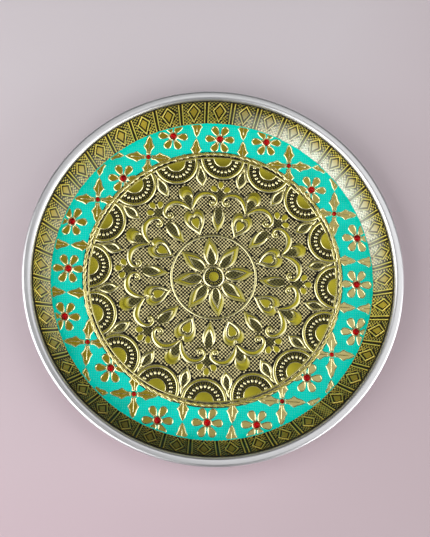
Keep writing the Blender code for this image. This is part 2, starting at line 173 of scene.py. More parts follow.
class BorderSizes(bpy.types.PropertyGroup):
    diamonds: IntProperty(name="Diamonds", description="Number of diamonds round the border", default=40)
    seam: angle("Seam", "Where the strip's ends lap", 307.8)
    first: angle("First diamond", "From the seam to the first diamond", 6.14)
    lap: angle("Lap", "How far the strip's ends overlap", 1.6)
    relief: length("Relief", "Height of the frames over the strip's ground", 0.8 * MM)
    end_gap: length("End gap", "From the strip's edge to the ends of the diamonds", 0.3 * MM)
    half_width: length("Half-width", "Half the width of a diamond", 5.5 * MM)
    bar: length("Bar", "From a diamond's axis to the bar beside it", 8.5 * MM)
    stud: length("Stud pitch", "Spacing round the plate of the strip's studs", 1.4 * MM)
    stud_up: length("Stud pitch up", "Spacing up the wall of the strip's studs", 1.6 * MM)
    stud_rise: length("Stud rise", "Height of the strip's studs", 0.5 * MM)


class RopeSizes(bpy.types.PropertyGroup):
    twist: length("Twist", "Length along the rope of one full turn of a strand", 10.4 * MM)
    strands: IntProperty(name="Strands", description="Number of twisted strands", default=2)


class PlateColours(bpy.types.PropertyGroup):
    steel: colour("Steel", "Polished steel", "eaeaec")
    gold: colour("Gold", "Lacquered foil on slopes and crests", "f8f0bc")
    stud_gold: colour("Stud gold", "Rubbed tops of the studs", "ecdea0")
    stud_olive: colour("Stud olive", "Faint studs in the fields of the motifs", "7d7841")
    olive: colour("Olive", "Lacquered foil on the flats", "b8ad34")
    rope: colour("Rope", "Lacquered foil on top of the rope's strands", "d2c04a")
    bronze: colour("Bronze", "Lacquered foil on the flats of the flowers", "a8942a")
    patina: colour("Patina", "Blackened recesses", "17130a")
    border_patina: colour("Border patina", "Recesses of the border", "1e180a")
    # Painted glare: the border foil is paled to this low on the wall, at the far right and at its left
    glare_on_wall: colour("Bare border foil", "Aluminium of the border where the lacquer is worn off", "fffcec")
    # Painted sheen: the trellis foil is paled to this towards the near right
    sheen_on_floor: colour("Bare foil", "Aluminium where the lacquer is worn off", "faf2bc")
    border_gold: colour("Border gold", "Brighter foil of the border", "fff07c")
    border_stud: colour("Border studs", "Tops of the border's studs", "d8c458")
    border_flat: colour("Border flats", "Foil of the border where the lacquer lies thick", "c4a838")
    turquoise: colour("Turquoise", "Enamel in the ground of the trellis", "00ecd7")
    turquoise_thin: colour("Thin turquoise", "The same enamel where it lies thinly", "00d3ba")
    turquoise_worn: colour("Worn turquoise", "The enamel over the raised threads of the weave", "8af0e4")
    red: colour("Red", "Enamel drops", "e60a06")
    red_deep: colour("Deep red", "Enamel drops where they lie thick", "780004")
    floor: colour("Floor", "Pale floor", "e0d7dc")
    floor_near: colour("Near floor", "The floor nearer the viewer", "d4bec6")
    # Painted shade: the floor darkens to this towards the right
    floor_right_shade: colour("Right floor", "The floor at the right", "ccbac0")


def power(name, description, default):
    return FloatProperty(name=name, description=description, default=default, unit="POWER")


class StudioSettings(bpy.types.PropertyGroup):
    tilt: angle("Tilt", "Camera's lean from straight down", 12.3)
    heading: angle("Heading", "Turn of the camera's stand round the plate", 19.0)
    roll: angle("Roll", "Camera's roll about its own axis", 18.8)
    distance: length("Distance", "From the camera to the point that it looks at", 0.698)
    aim_x: length("Aim X", "Point that the camera looks at", 1.0 * MM)
    aim_y: length("Aim Y", "Point that the camera looks at", 6.1 * MM)
    focal_pixels: FloatProperty(name="Focal length", description="In pixels of the image", default=930.0)
    key_power: power("Key", "Main softbox at the near left", 7.6)
    fill_power: power("Fill", "Softbox at the right", 4.5)
    low_power: power("Low", "Low light at the near left", 4.5)
    side_power: power("Side", "Low light at the near right", 8.0)
    front_power: power("Front", "Strip of light at the near side", 0.8)
    top_power: power("Top", "Softbox overhead", 1.5)
    back_power: power("Back", "Strip of light over the far side", 1.1)
    horizon_power: power("Horizon", "Faint low light at the far side", 0.7)
    ambient: FloatProperty(name="Ambient", description="Strength of the even light", default=0.06)


# Drawing

def polar(radius, degrees):
    turn = math.radians(degrees)
    return (radius * math.cos(turn), radius * math.sin(turn))


def arc(centre, radius, start, end, count):
    points = []
    for i in range(count + 1):
        x, y = polar(radius, start + (end - start) * i / count)
        points.append((centre[0] + x, centre[1] + y))
    return points


def reflected(half):
    """Closed outline from the half that is drawn above the axis, from one end to the other."""
    return list(half) + [(x, -y) for x, y in reversed(half[1:-1])]


def curve_piece(start, end, leave, arrive, parts):
    """Points from the start up to the end of a curve that leaves and arrives in the given ways."""
    points = []
    for k in range(parts):
        t = k / parts
        points.append(start * (2 * t ** 3 - 3 * t ** 2 + 1) + leave * (t ** 3 - 2 * t ** 2 + t)
                      + end * (3 * t ** 2 - 2 * t ** 3) + arrive * (t ** 3 - t ** 2))
    return points


def flowing(points, sharp=(), parts=4):
    """Closed outline that runs smoothly through the points and turns a corner at the sharp ones."""
    nodes = [Vector(point) for point in points]
    count = len(nodes)
    outline = []
    for i in range(count):
        before, start, end, after = (nodes[(i + step) % count] for step in (-1, 0, 1, 2))
        leave = end - start if i in sharp else (end - before) / 2
        arrive = end - start if (i + 1) % count in sharp else (after - start) / 2
        outline += curve_piece(start, end, leave, arrive, parts)
    return outline


def leaf_shape(half, sharp_foot=True, sharp_head=False, parts=4):
    """Smooth closed outline of a motif that is the same on both sides of its axis."""
    sharp = [0] * sharp_foot + [len(half) - 1] * sharp_head
    return flowing(reflected(half), sharp, parts)


def ribbon(path, parts=4):
    """Outer outline and middle line of a stroke: each point of its path has a half-width."""
    nodes = [Vector(point) for point in path]
    line = []
    for before, start, end, after in zip(nodes[:1] + nodes, nodes, nodes[1:], nodes[2:] + nodes[-1:]):
        line += curve_piece(start, end, (end - before) / 2, (after - start) / 2, parts)
    line.append(nodes[-1])
    left = []
    right = []
    for before, point, after in zip(line[:1] + line, line, line[1:] + line[-1:]):
        along = (after - before).xy.normalized()
        side = Vector((-along.y, along.x)) * point.z
        left.append(point.xy + side)
        right.append(point.xy - side)
    middle = [point.xy for point in line]
    return left + right[::-1], middle + middle[::-1]


# Mesh work

def loft(bm, rings):
    """Closed solid through rings with the same number of points, with a flat cap at both ends."""
    ring = [bm.verts.new(point) for point in rings[0]]
    bottom = cap = bm.faces.new(ring)
    for following in rings[1:]:
        order = {vert: i for i, vert in enumerate(ring)}
        grown = bmesh.ops.extrude_face_region(bm, geom=[cap])["geom"]
        if cap is not bottom:
            bm.faces.remove(cap)
        cap = next(item for item in grown if isinstance(item, bmesh.types.BMFace))
        ring = [None] * len(following)
        for vert in cap.verts:
            source = next(edge.other_vert(vert) for edge in vert.link_edges if edge.other_vert(vert) in order)
            ring[order[source]] = vert
        for vert, point in zip(ring, following):
            vert.co = point
    if cap.calc_area() < 0.001 * MM * MM:
        bm.faces.remove(cap)


FLAT_RIM = ((0.0, 0.0), (0.02, 0.4), (0.38, 0.9), (0.47, 1.0), (0.62, 1.0), (0.71, 0.88),
            (0.98, 0.4), (1.0, 0.0))
FLAT_HALF = ((0.0, 0.0), (0.03, 0.3), (0.5, 0.88), (0.72, 1.0), (1.0, 1.0))
HALF_ROUND = ((0.0, 0.0), (0.06, 0.14), (0.45, 0.58), (0.82, 0.95), (1.0, 1.0))
PAD = ((0.0, 0.0), (0.3, 0.7), (0.6, 0.95), (1.0, 1.0))


def emboss(bm, outer, inner, profile, root, rise, full=1.5):
    """Raises the stretch between two outlines of a motif, in millimetres, over its root.

    The profile holds shares of the way in and of the rise. What lies inside the inner outline is
    flat. Where the stretch is narrower than the full width it rises less, so that a rim dies away
    at its ends.
    """
    rings = []
    for across, up in profile:
        ring = []
        for a, b in zip(outer, inner):
            width = math.dist(a, b)
            point = Vector(a).lerp(Vector(b), across)
            ring.append((point.x, point.y, root + rise * up * min(1.0, width / full)))
        rings.append(ring)
    loft(bm, [[(x * MM, y * MM, z * MM) for x, y, z in ring] for ring in rings])


def embossed(outer, inner, profile, root, rise, full=1.5):
    """A motif of its own, raised between two outlines."""
    motif = bmesh.new()
    emboss(motif, outer, inner, profile, root, rise, full)
    return motif


def shrunk(outline, share):
    """The outline drawn in towards its centre."""
    centre = sum((Vector(point) for point in outline), Vector((0.0, 0.0))) / len(outline)
    return [Vector(point).lerp(centre, share) for point in outline]


def turned_profile(bm, points, steps, centre=(0.0, 0.0), start=0.0, sweep=360.0):
    """Spins a closed profile of radii and heights in millimetres about an upright axis."""
    verts = [bm.verts.new(((centre[0] + r) * MM, centre[1] * MM, z * MM)) for r, z in points]
    edges = [bm.edges.new((verts[i - 1], verts[i])) for i in range(len(verts))]
    axis = (centre[0] * MM, centre[1] * MM, 0.0)
    bmesh.ops.rotate(bm, verts=verts, cent=axis, matrix=Matrix.Rotation(math.radians(start), 3, "Z"))
    full = sweep == 360.0
    spun = bmesh.ops.spin(bm, geom=verts + edges, cent=axis, axis=(0.0, 0.0, 1.0), angle=math.radians(sweep),
                          steps=steps, use_merge=full)
    if not full:
        made = {*verts, *spun["geom_last"]}
        ends = [edge for edge in bm.edges if edge.is_boundary and edge.verts[0] in made]
        bmesh.ops.holes_fill(bm, edges=ends, sides=0)


def turned_boss(bm, profile, root, rise, steps, centre=(0.0, 0.0)):
    """Spins a profile of radii and of shares of the rise over the root."""
    turned_profile(bm, [(radius, root + rise * up) for radius, up in profile], steps, centre)


def place(bm, motif, matrices):
    """Adds a copy of the motif at each place, and frees it."""
    mesh = bpy.data.meshes.new("motif")
    motif.to_mesh(mesh)
    motif.free()
    for matrix in matrices:
        mesh.transform(matrix)
        bm.from_mesh(mesh)
        mesh.transform(matrix.inverted())
    bpy.data.meshes.remove(mesh)


def gathered(motif, matrices):
    """A motif made of copies of another at its places."""
    bm = bmesh.new()
    place(bm, motif, matrices)
    return bm


def round_places(count, first):
    return [Matrix.Rotation(math.radians(first + 360.0 * i / count), 4, "Z") for i in range(count)]


def at_places(places, turn):
    return [Matrix.Translation((x, y, 0.0)) @ Matrix.Rotation(turn, 4, "Z") for x, y in places]


def new_object(bm, name):
    bmesh.ops.remove_doubles(bm, verts=bm.verts, dist=0.0005 * MM)
    bmesh.ops.recalc_face_normals(bm, faces=bm.faces)
    mesh = bpy.data.meshes.new(name)
    bm.to_mesh(mesh)
    bm.free()
    obj = bpy.data.objects.new(name, mesh)
    bpy.context.scene.collection.objects.link(obj)
    return obj


def shade(mesh, crease):
    """Smooth but for the creases and the many-sided faces, which are flat tops."""
    bm = bmesh.new()
    bm.from_mesh(mesh)
    for face in bm.faces:
        face.smooth = True
    for edge in bm.edges:
        beside_top = any(len(face.verts) > 4 for face in edge.link_faces)
        edge.smooth = edge.is_manifold and not beside_top and edge.calc_face_angle() < crease
    bm.to_mesh(mesh)
    bm.free()


def finish_piece(obj, material, nodes=(), crease=40.0):
    """Shades the piece, gives it its finish and ties it to the frame."""
    shade(obj.data, math.radians(crease))
    obj.data.materials.clear()
    obj.data.materials.append(material)
    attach(obj, "root")
    if nodes:
        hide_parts(*nodes)
    return obj


def keep_inside(obj, tool):
    """Keeps what lies inside the tool, which is then thrown away."""
    boolean = obj.modifiers.new("Inside", "BOOLEAN")
    boolean.operation = "INTERSECT"
    boolean.object = tool
    boolean.solver = "EXACT"
    mesh = finished_mesh(obj)
    obj.modifiers.clear()
    obj.data = mesh
    bpy.data.objects.remove(tool, do_unlink=True)


def finished_mesh(obj):
    depsgraph = bpy.context.evaluated_depsgraph_get()
    return bpy.data.meshes.new_from_object(obj.evaluated_get(depsgraph))


# Material nodes

def socket_of(sockets, key):
    """Socket by its number, or the first enabled one with the name."""
    if isinstance(key, int):
        return sockets[key]
    return next(socket for socket in sockets if socket.name == key and socket.enabled)


def feed(tree, node, settings=None, links=None):
    """Gives a node its settings and its links, from sockets or from other nodes' first outputs in use."""
    for key, value in (settings or {}).items():
        if isinstance(key, str) and hasattr(node, key):
            setattr(node, key, value)
        else:
            socket_of(node.inputs, key).default_value = value
    for key, source in (links or {}).items():
        if isinstance(source, bpy.types.Node):
            source = next(socket for socket in source.outputs if socket.enabled)
        tree.links.new(source, socket_of(node.inputs, key))
    return node


def add_node(tree, kind, settings=None, links=None):
    return feed(tree, tree.nodes.new("ShaderNode" + kind), settings, links)


def new_material(name):
    """A material, its tree, its shader and the sockets that give places and directions on a piece."""
    material = bpy.data.materials.new(name)
    material.use_nodes = True
    tree = material.node_tree
    return material, tree, tree.nodes["Principled BSDF"], add_node(tree, "TexCoord").outputs


def set_stops(ramp, stops):
    """Puts the stops of a colour ramp."""
    for element, (position, stop) in zip(ramp.color_ramp.elements, stops):
        element.position = position
        element.color = stop


def floor_height(tree, coordinates):
    """Height in the plate's own frame."""
    return add_node(tree, "SeparateXYZ", links={0: coordinates}).outputs["Z"]


def wall_height(tree, coordinates):
    """Distance into the dish from the middle of the steel, on the wall and on the fold under it."""
    dish = bpy.context.scene.plate_dish
    centre = corner_centre(dish)
    inward = wall_inward(dish)
    level = add_node(tree, "VectorMath", {"operation": "MULTIPLY", 1: (1.0, 1.0, 0.0)}, {0: coordinates})
    radius = add_node(tree, "VectorMath", {"operation": "LENGTH"}, {0: level})
    section = add_node(tree, "CombineXYZ", links={0: radius, 1: floor_height(tree, coordinates)})
    from_centre = add_node(tree, "VectorMath", {"operation": "SUBTRACT", 1: (centre.x, centre.y, 0.0)},
                           {0: section})
    reach = add_node(tree, "VectorMath", {"operation": "LENGTH"}, {0: from_centre})
    on_fold = add_node(tree, "Math", {"operation": "SUBTRACT", 0: dish.corner}, {1: reach})
    across = add_node(tree, "VectorMath", {"operation": "DOT_PRODUCT", 1: (inward.x, inward.y, 0.0)},
                      {0: from_centre})
    on_wall = add_node(tree, "Math", {"operation": "ADD", 1: dish.corner}, {0: across})
    along = add_node(tree, "VectorMath", {"operation": "DOT_PRODUCT", 1: (-inward.y, inward.x, 0.0)},
                     {0: from_centre})
    below = add_node(tree, "Math", {"operation": "GREATER_THAN", 1: 0.0}, {0: along})
    return add_node(tree, "Mix", {"data_type": "FLOAT"}, {"Factor": below, "A": on_wall, "B": on_fold})


def steepness(tree, normal):
    """How steeply the surface stands against the plate's floor."""
    split = add_node(tree, "SeparateXYZ", links={0: normal})
    return add_node(tree, "MapRange", {"From Min": 0.985, "From Max": 0.93}, {"Value": split.outputs["Z"]})


def growing(tree, coordinates, direction, start, full, most=1.0):
    """Share that rises to its most between two distances from the plate's middle in a direction."""
    along = add_node(tree, "VectorMath", {"operation": "DOT_PRODUCT", 1: direction}, {0: coordinates})
    return add_node(tree, "MapRange", {"From Min": start, "From Max": full, "To Max": most}, {"Value": along})


def most_on_sides(tree, coordinates, sides):
    """The greatest of the shares that grow in the directions."""
    greatest, *others = (growing(tree, coordinates, *side) for side in sides)
    for other in others:
        greatest = add_node(tree, "Math", {"operation": "MAXIMUM"}, {0: greatest, 1: other})
    return greatest


# How far the lacquer's blotches move the height at which it is wiped
BLOTCHES = 0.16 * MM
# Directions in which the painted sheen, the painted glare and the painted shade grow, with the distances
# where each starts and is full, and its most
FLOOR_SHEEN = (((0.86, -0.5, 0.0), 0.0, 105 * MM, 0.42),)
WALL_GLARE = (((0.79, 0.62, 0.0), 85 * MM, 118 * MM, 1.0), ((-0.97, 0.25, 0.0), 85 * MM, 118 * MM, 0.3))
WALL_GLARE_TOP = 16 * MM
WALL_GLARE_FULL = 5 * MM
WALL_SHADE = (((-0.42, -0.9, 1.0), 85 * MM, 135 * MM, 0.7), ((0.57, -0.82, 0.6), 98 * MM, 130 * MM, 0.45),
              ((0.09, 1.0, 0.0), 108 * MM, 126 * MM, 0.35))


def painted_sheen_near(tree, coordinates):
    """Painted sheen that grows towards the near right of the plate."""
    return most_on_sides(tree, coordinates, FLOOR_SHEEN)


def painted_glare_low(tree, coordinates):
    """Painted glare low on the wall, at the far right of the plate and at its left."""
    low = add_node(tree, "MapRange", {"From Min": WALL_GLARE_TOP, "From Max": WALL_GLARE_FULL},
                   {"Value": floor_height(tree, coordinates)})
    side = most_on_sides(tree, coordinates, WALL_GLARE)
    return add_node(tree, "Math", {"operation": "MULTIPLY"}, {0: low, 1: side})


def painted_shade_sides(tree, coordinates):
    """Painted shade that is thickest high on the wall at the near side, thinner at the near right and
    thinnest at the far side."""
    return most_on_sides(tree, coordinates, WALL_SHADE)


def embossed_foil(name, ground, crest, colours, flat, pale, wiped=(0.05, 0.25), rough=(0.6, 0.2), metal=1.0,
                  on_wall=False, wear_and_glare=None, painted_shade=None):
    """Pressed aluminium foil with a gold lacquer, blackened and wiped between the ground and the crests.

    It is dark in its recesses, olive on its flats where the lacquer lies thick, pale on its rubbed
    slopes and crests, paled further where painted glare is given, and darkened where painted shade
    is given. On the wall, height alone tells the flats from the crests.
    """
    material, tree, shader, frame_of = new_material(name)
    coordinates = frame_of["Object"]
    height = (wall_height if on_wall else floor_height)(tree, coordinates)
    blotches = add_node(tree, "TexNoise", {"Scale": 1 / (7 * MM), "Detail": 3.0}, {"Vector": coordinates})
    spread = add_node(tree, "Math", {"operation": "MULTIPLY_ADD", 1: BLOTCHES, 2: -BLOTCHES / 2},
                      {0: blotches})
    uneven = add_node(tree, "Math", {"operation": "ADD"}, {0: height, 1: spread})
    share = add_node(tree, "MapRange", {"From Min": ground, "From Max": crest}, {"Value": uneven})
    if on_wall:
        rubbed = add_node(tree, "MapRange", {"From Min": 0.66, "From Max": 0.8}, {"Value": share})
    else:
        rubbed = steepness(tree, frame_of["Normal"])
    lacquer = add_node(tree, "Mix", {"data_type": "RGBA", "A": flat, "B": pale}, {"Factor": rubbed})
    cleared = add_node(tree, "MapRange", {"From Min": wiped[0], "From Max": wiped[1]}, {"Value": share})
    dark = colours.border_patina if on_wall else colours.patina
    base = add_node(tree, "Mix", {"data_type": "RGBA", "A": dark}, {"Factor": cleared, "B": lacquer})
    # Painted shade: the foil is darkened towards its recess colour where the given share grows
    if painted_shade:
        base = add_node(tree, "Mix", {"data_type": "RGBA", "B": dark},
                        {"Factor": painted_shade(tree, coordinates), "A": base})
    # Painted glare: the foil is paled towards a bright colour where the given share grows
    if wear_and_glare:
        open_to_glare = add_node(tree, "MapRange", {"From Max": 0.5, "To Min": 0.4}, {"Value": share})
        glare_share = add_node(tree, "Math", {"operation": "MULTIPLY"},
                        {0: open_to_glare, 1: wear_and_glare(tree, coordinates)})
        glare_colour = colours.glare_on_wall if on_wall else colours.sheen_on_floor
        base = add_node(tree, "Mix", {"data_type": "RGBA", "B": glare_colour}, {"Factor": glare_share, "A": base})
    polish = add_node(tree, "MapRange", {"To Min": 0.5}, {"Value": rubbed})
    buffed = add_node(tree, "Math", {"operation": "MULTIPLY"}, {0: polish, 1: share})
    roughness = add_node(tree, "MapRange", {"To Min": rough[0], "To Max": rough[1], "From Max": 0.7},
                         {"Value": buffed})
    metallic = add_node(tree, "Math", {"operation": "MULTIPLY", 1: metal}, {0: cleared})
    dents = add_node(tree, "TexNoise", {"Scale": 1 / (1.3 * MM), "Detail": 2.0}, {"Vector": coordinates})
    bump = add_node(tree, "Bump", {"Strength": 0.25, "Distance": 0.12 * MM}, {"Height": dents})
    feed(tree, shader, {"Specular IOR Level": 0.2},
         {"Base Color": base, "Metallic": metallic, "Roughness": roughness, "Normal": bump})
    return material


def polished_steel(colours):
    """Stainless steel spun and buffed: bright, with faint marks that run round the dish."""
    material, tree, shader, frame_of = new_material("polished_steel")
    coordinates = frame_of["Object"]
    marks = add_node(tree, "TexWave", {"wave_type": "RINGS", "rings_direction": "Z", "Scale": 1 / (9 * MM),
                                       "Distortion": 1.5, "Detail": 3.0}, {"Vector": coordinates})
    bump = add_node(tree, "Bump", {"Strength": 0.12, "Distance": 0.02 * MM}, {"Height": marks.outputs["Fac"]})
    smears = add_node(tree, "TexNoise", {"Scale": 1 / (25 * MM), "Detail": 3.0}, {"Vector": coordinates})
    rough = add_node(tree, "MapRange", {"To Min": 0.26, "To Max": 0.42}, {"Value": smears})
    feed(tree, shader, {"Base Color": colours.steel, "Metallic": 1.0}, {"Roughness": rough, "Normal": bump})
    return material


def turquoise_enamel(colours):
    """Opaque cold enamel flooded over the woven ground: satin, a little thinner in places and paler
    over the threads."""
    material, tree, shader, frame_of = new_material("turquoise_enamel")
    coordinates = frame_of["Object"]
    flow = add_node(tree, "TexNoise", {"Scale": 1 / (14 * MM), "Detail": 4.0}, {"Vector": coordinates})
    ramp = add_node(tree, "ValToRGB", links={"Fac": flow})
    set_stops(ramp, [(0.45, colours.turquoise), (0.8, colours.turquoise_thin)])
    rise = bpy.context.scene.plate_foil.weave_rise
    threads = {"From Min": enamel_level() + rise / 2, "From Max": enamel_level() + rise, "To Max": 0.3}
    wear_and_glare = add_node(tree, "MapRange", threads, {"Value": floor_height(tree, coordinates)})
    face = add_node(tree, "Mix", {"data_type": "RGBA", "B": colours.turquoise_worn},
                    {"Factor": wear_and_glare, "A": ramp})
    feed(tree, shader, {"Roughness": 0.4, "IOR": 1.5, "Specular IOR Level": 0.05}, {"Base Color": face})
    return material


def red_enamel(colours):
    """Glossy red enamel set in domes: deeper in places, with a sharp glint on top."""
    material, tree, shader, frame_of = new_material("red_enamel")
    depth = add_node(tree, "TexNoise", {"Scale": 1 / (3 * MM)}, {"Vector": frame_of["Object"]})
    ramp = add_node(tree, "ValToRGB", links={"Fac": depth})
    set_stops(ramp, [(0.35, colours.red_deep), (0.65, colours.red)])
    feed(tree, shader, {"Roughness": 0.08, "IOR": 1.5, "Specular IOR Level": 0.16}, {"Base Color": ramp})
    return material


def pale_floor(colours):
    """Smooth matt board, a little warmer towards the viewer, with painted shade that darkens it to the right.
    """
    material, tree, shader, frame_of = new_material("pale_floor")
    near = growing(tree, frame_of["Object"], (0.0, -1.0, 0.0), -0.16, 0.2)
    # Painted shade that grows towards the right
    right = growing(tree, frame_of["Object"], (1.0, -0.5, 0.0), 0.0, 0.25)
    left = add_node(tree, "Mix", {"data_type": "RGBA", "A": colours.floor, "B": colours.floor_near},
                    {"Factor": near})
    tint = add_node(tree, "Mix", {"data_type": "RGBA", "B": colours.floor_right_shade},
                    {"Factor": right, "A": left})
    feed(tree, shader, {"Roughness": 0.9, "Specular IOR Level": 0.1}, {"Base Color": tint})
    return material


# Steel dish

def lip_bend_centre(sizes):
    return Vector((sizes.radius - sizes.curl - sizes.lip, sizes.height - sizes.sheet / 2 - sizes.bend))


def wall_direction(sizes):
    return Vector((math.cos(sizes.wall_angle), math.sin(sizes.wall_angle)))


def wall_inward(sizes):
    return Vector((-math.sin(sizes.wall_angle), math.cos(sizes.wall_angle)))


def wall_head(sizes):
    return lip_bend_centre(sizes) + wall_inward(sizes) * sizes.bend


def corner_centre(sizes):
    height = sizes.sheet / 2 + sizes.corner
    foot_height = height - sizes.corner * wall_direction(sizes).x
    run = (wall_head(sizes).y - foot_height) / math.tan(sizes.wall_angle)
    return Vector((wall_head(sizes).x - run - sizes.corner * wall_direction(sizes).y, height))


def wall_point(sizes, lift):
    """Foot of the straight wall, the given distance inside the middle of its steel."""
    return corner_centre(sizes) - wall_inward(sizes) * (sizes.corner - lift)


def wall_length(sizes):
    return (wall_head(sizes) - wall_point(sizes, 0.0)).length


def dish_profile(sizes):
    """Middle of the sheet, from the centre of the floor to the end of the curl."""
    lean = math.degrees(sizes.wall_angle)
    curl = sizes.curl - sizes.sheet / 2
    curl_centre = (sizes.radius - sizes.curl, sizes.height - sizes.sheet / 2 - curl)
    points = [(0.0, sizes.sheet / 2)]
    points += arc(corner_centre(sizes), sizes.corner, -90.0, lean - 90.0, 8)
    points += arc(lip_bend_centre(sizes), sizes.bend, lean + 90.0, 90.0, 10)
    points += arc(curl_centre, curl, 90.0, 90.0 - math.degrees(sizes.curl_turn), 26)
    return points


def make_steel_dish(sizes, colours):
    """Spins the middle of the sheet and thickens it to both sides."""
    bm = bmesh.new()
    verts = [bm.verts.new((radius, 0.0, height)) for radius, height in dish_profile(sizes)]
    edges = [bm.edges.new(pair) for pair in zip(verts, verts[1:])]
    bmesh.ops.spin(bm, geom=verts + edges, cent=(0.0, 0.0, 0.0), axis=(0.0, 0.0, 1.0), angle=math.tau,
                   steps=ROUND_STEPS, use_merge=True)
    obj = new_object(bm, "spun_dish")
    sheet = obj.modifiers.new("Sheet", "SOLIDIFY")
    sheet.thickness = sizes.sheet
    sheet.offset = 0.0
    sheet.use_even_offset = True
    finish_piece(obj, polished_steel(colours), ["steel_dish"])


# Ground of the foils

ROOT_DEPTH = 0.1
SKIRT = 0.2 * MM


def root_and_rise(sizes, ground):
    """Height of the motifs' roots in the foil and their height over them, in millimetres."""
    return ground / MM - ROOT_DEPTH, sizes.relief / MM + ROOT_DEPTH


def studded_ground(bm, inner, outer, pitch, height, rise_of):
    """Ring of sheet, or a disc, whose every second grid point stands up as a stud."""
    count = 2 * math.ceil(outer / pitch)
    bmesh.ops.create_grid(bm, x_segments=count, y_segments=count, size=count * pitch / 2)
    gone = [vert for vert in bm.verts if not inner < vert.co.xy.length < outer]
    bmesh.ops.delete(bm, geom=gone, context="VERTS")
    for vert in bm.verts:
        raised = (round(vert.co.x / pitch) + round(vert.co.y / pitch)) % 2
        vert.co.z = height + rise_of(vert.co) * raised
    for vert in (vert for vert in bm.verts if vert.is_boundary):
        radius = vert.co.xy.length
        edge = inner if radius - inner < outer - radius else outer
        vert.co.xy = vert.co.xy * (edge / radius)
    bmesh.ops.poke(bm, faces=bm.faces)
    skirt = bmesh.ops.extrude_edge_only(bm, edges=[edge for edge in bm.edges if edge.is_boundary])["geom"]
    for vert in (item for item in skirt if isinstance(item, bmesh.types.BMVert)):
        vert.co.z = height - SKIRT


def holds(outline, x, y):
    """Whether the point lies inside the closed outline."""
    inside = False
    for (ax, ay), (bx, by) in zip(outline, outline[-1:] + outline[:-1]):
        if (ay > y) != (by > y) and x < ax + (bx - ax) * (y - ay) / (by - ay):
            inside = not inside
    return inside


# Medallion. Its outlines are half outlines in millimetres, from the middle of the plate outwards.

STAR_OUTER = ((8.6, 0.0), (9.3, 2.4), (12.0, 4.3), (15.5, 5.5), (19.0, 5.7), (22.5, 4.8), (26.0, 3.1),
              (28.8, 1.4), (30.7, 0.0))
STAR_INNER = ((9.0, 0.0), (9.7, 1.1), (11.5, 2.1), (14.0, 2.6), (16.5, 2.3), (18.9, 1.4), (20.8, 0.6),
              (21.9, 0.2), (22.6, 0.0))
HEART_OUTER = ((33.6, 0.0), (36.5, 2.2), (40.2, 5.2), (44.0, 7.3), (47.7, 8.0), (51.0, 7.1), (53.3, 4.8),
               (53.7, 2.2), (51.6, 0.0))
HEART_INNER = ((37.0, 0.0), (38.4, 1.3), (40.8, 3.0), (43.2, 4.0), (45.5, 4.2), (47.3, 3.5), (48.3, 2.3),
               (48.4, 1.1), (47.6, 0.0))
HEART_FIELD = ((37.9, 0.0), (39.0, 0.9), (41.0, 2.3), (43.2, 3.2), (45.3, 3.4), (46.7, 2.8), (47.4, 1.8),
               (47.4, 0.9), (46.7, 0.0))
LEAF_OUTER = ((34.3, 0.0), (37.0, 1.9), (40.8, 3.9), (44.8, 4.9), (48.6, 4.6), (51.6, 3.4), (53.2, 1.9),
              (53.4, 0.0))
LEAF_INNER = ((41.6, 0.0), (42.9, 1.0), (45.0, 1.9), (47.2, 2.5), (49.6, 2.6), (51.6, 2.3), (52.9, 1.6),
              (53.2, 0.0))
BUD_OUTER = ((54.9, 0.0), (58.4, 1.3), (61.2, 2.7), (63.4, 4.2), (66.4, 5.5), (69.6, 5.4), (72.3, 3.5),
             (73.6, 0.0))
BUD_INNER = ((55.1, 0.0), (58.4, 1.1), (60.8, 2.2), (62.4, 2.8), (64.0, 2.7), (65.2, 2.0), (66.0, 1.0),
             (66.3, 0.0))
SPEAR_OUTER = ((70.4, 0.0), (73.0, 2.1), (76.0, 3.8), (79.0, 4.3), (82.0, 3.3), (85.2, 1.6), (88.5, 0.9),
               (91.5, 0.7))
SPEAR_INNER = ((74.6, 0.0), (75.8, 1.1), (77.4, 1.8), (79.4, 2.0), (81.4, 1.6), (83.2, 0.9), (84.6, 0.4),
               (85.4, 0.0))
SCROLL_PATH = ((54.2, 0.5, 0.6), (57.4, 2.3, 1.4), (61.3, 5.6, 2.1), (63.8, 10.6, 2.4), (63.0, 15.6, 2.1),
               (60.4, 19.1, 1.6), (57.1, 20.6, 1.3), (54.0, 19.5, 1.1), (52.8, 17.0, 0.95), (53.9, 14.8, 0.8),
               (56.0, 14.9, 0.6), (57.0, 16.3, 0.4))
SCROLL_EYE = (55.2, 17.3)
SMALL_PETAL = ((-3.3, 0.0), (-2.2, 1.5), (0.2, 2.6), (2.3, 2.1), (3.4, 0.0))
SMALL_PETALS = ((71.3, 0.0), (68.0, 4.8), (68.0, -4.8))
SMALL_HEART = 64.0
STAR_RING = 31.7
STAR_RING_MARGIN = 1.15
MEDALLION_EDGE = ((-1.8, -0.15), (-1.6, 0.35), (-1.2, 0.6), (-0.6, 0.6), (-0.2, 0.35), (0.0, 0.0))
STAR_RING_PROFILE = ((-0.9, 0.0), (-0.85, 0.3), (-0.1, 0.75), (0.1, 0.75), (0.85, 0.3), (0.9, 0.0))
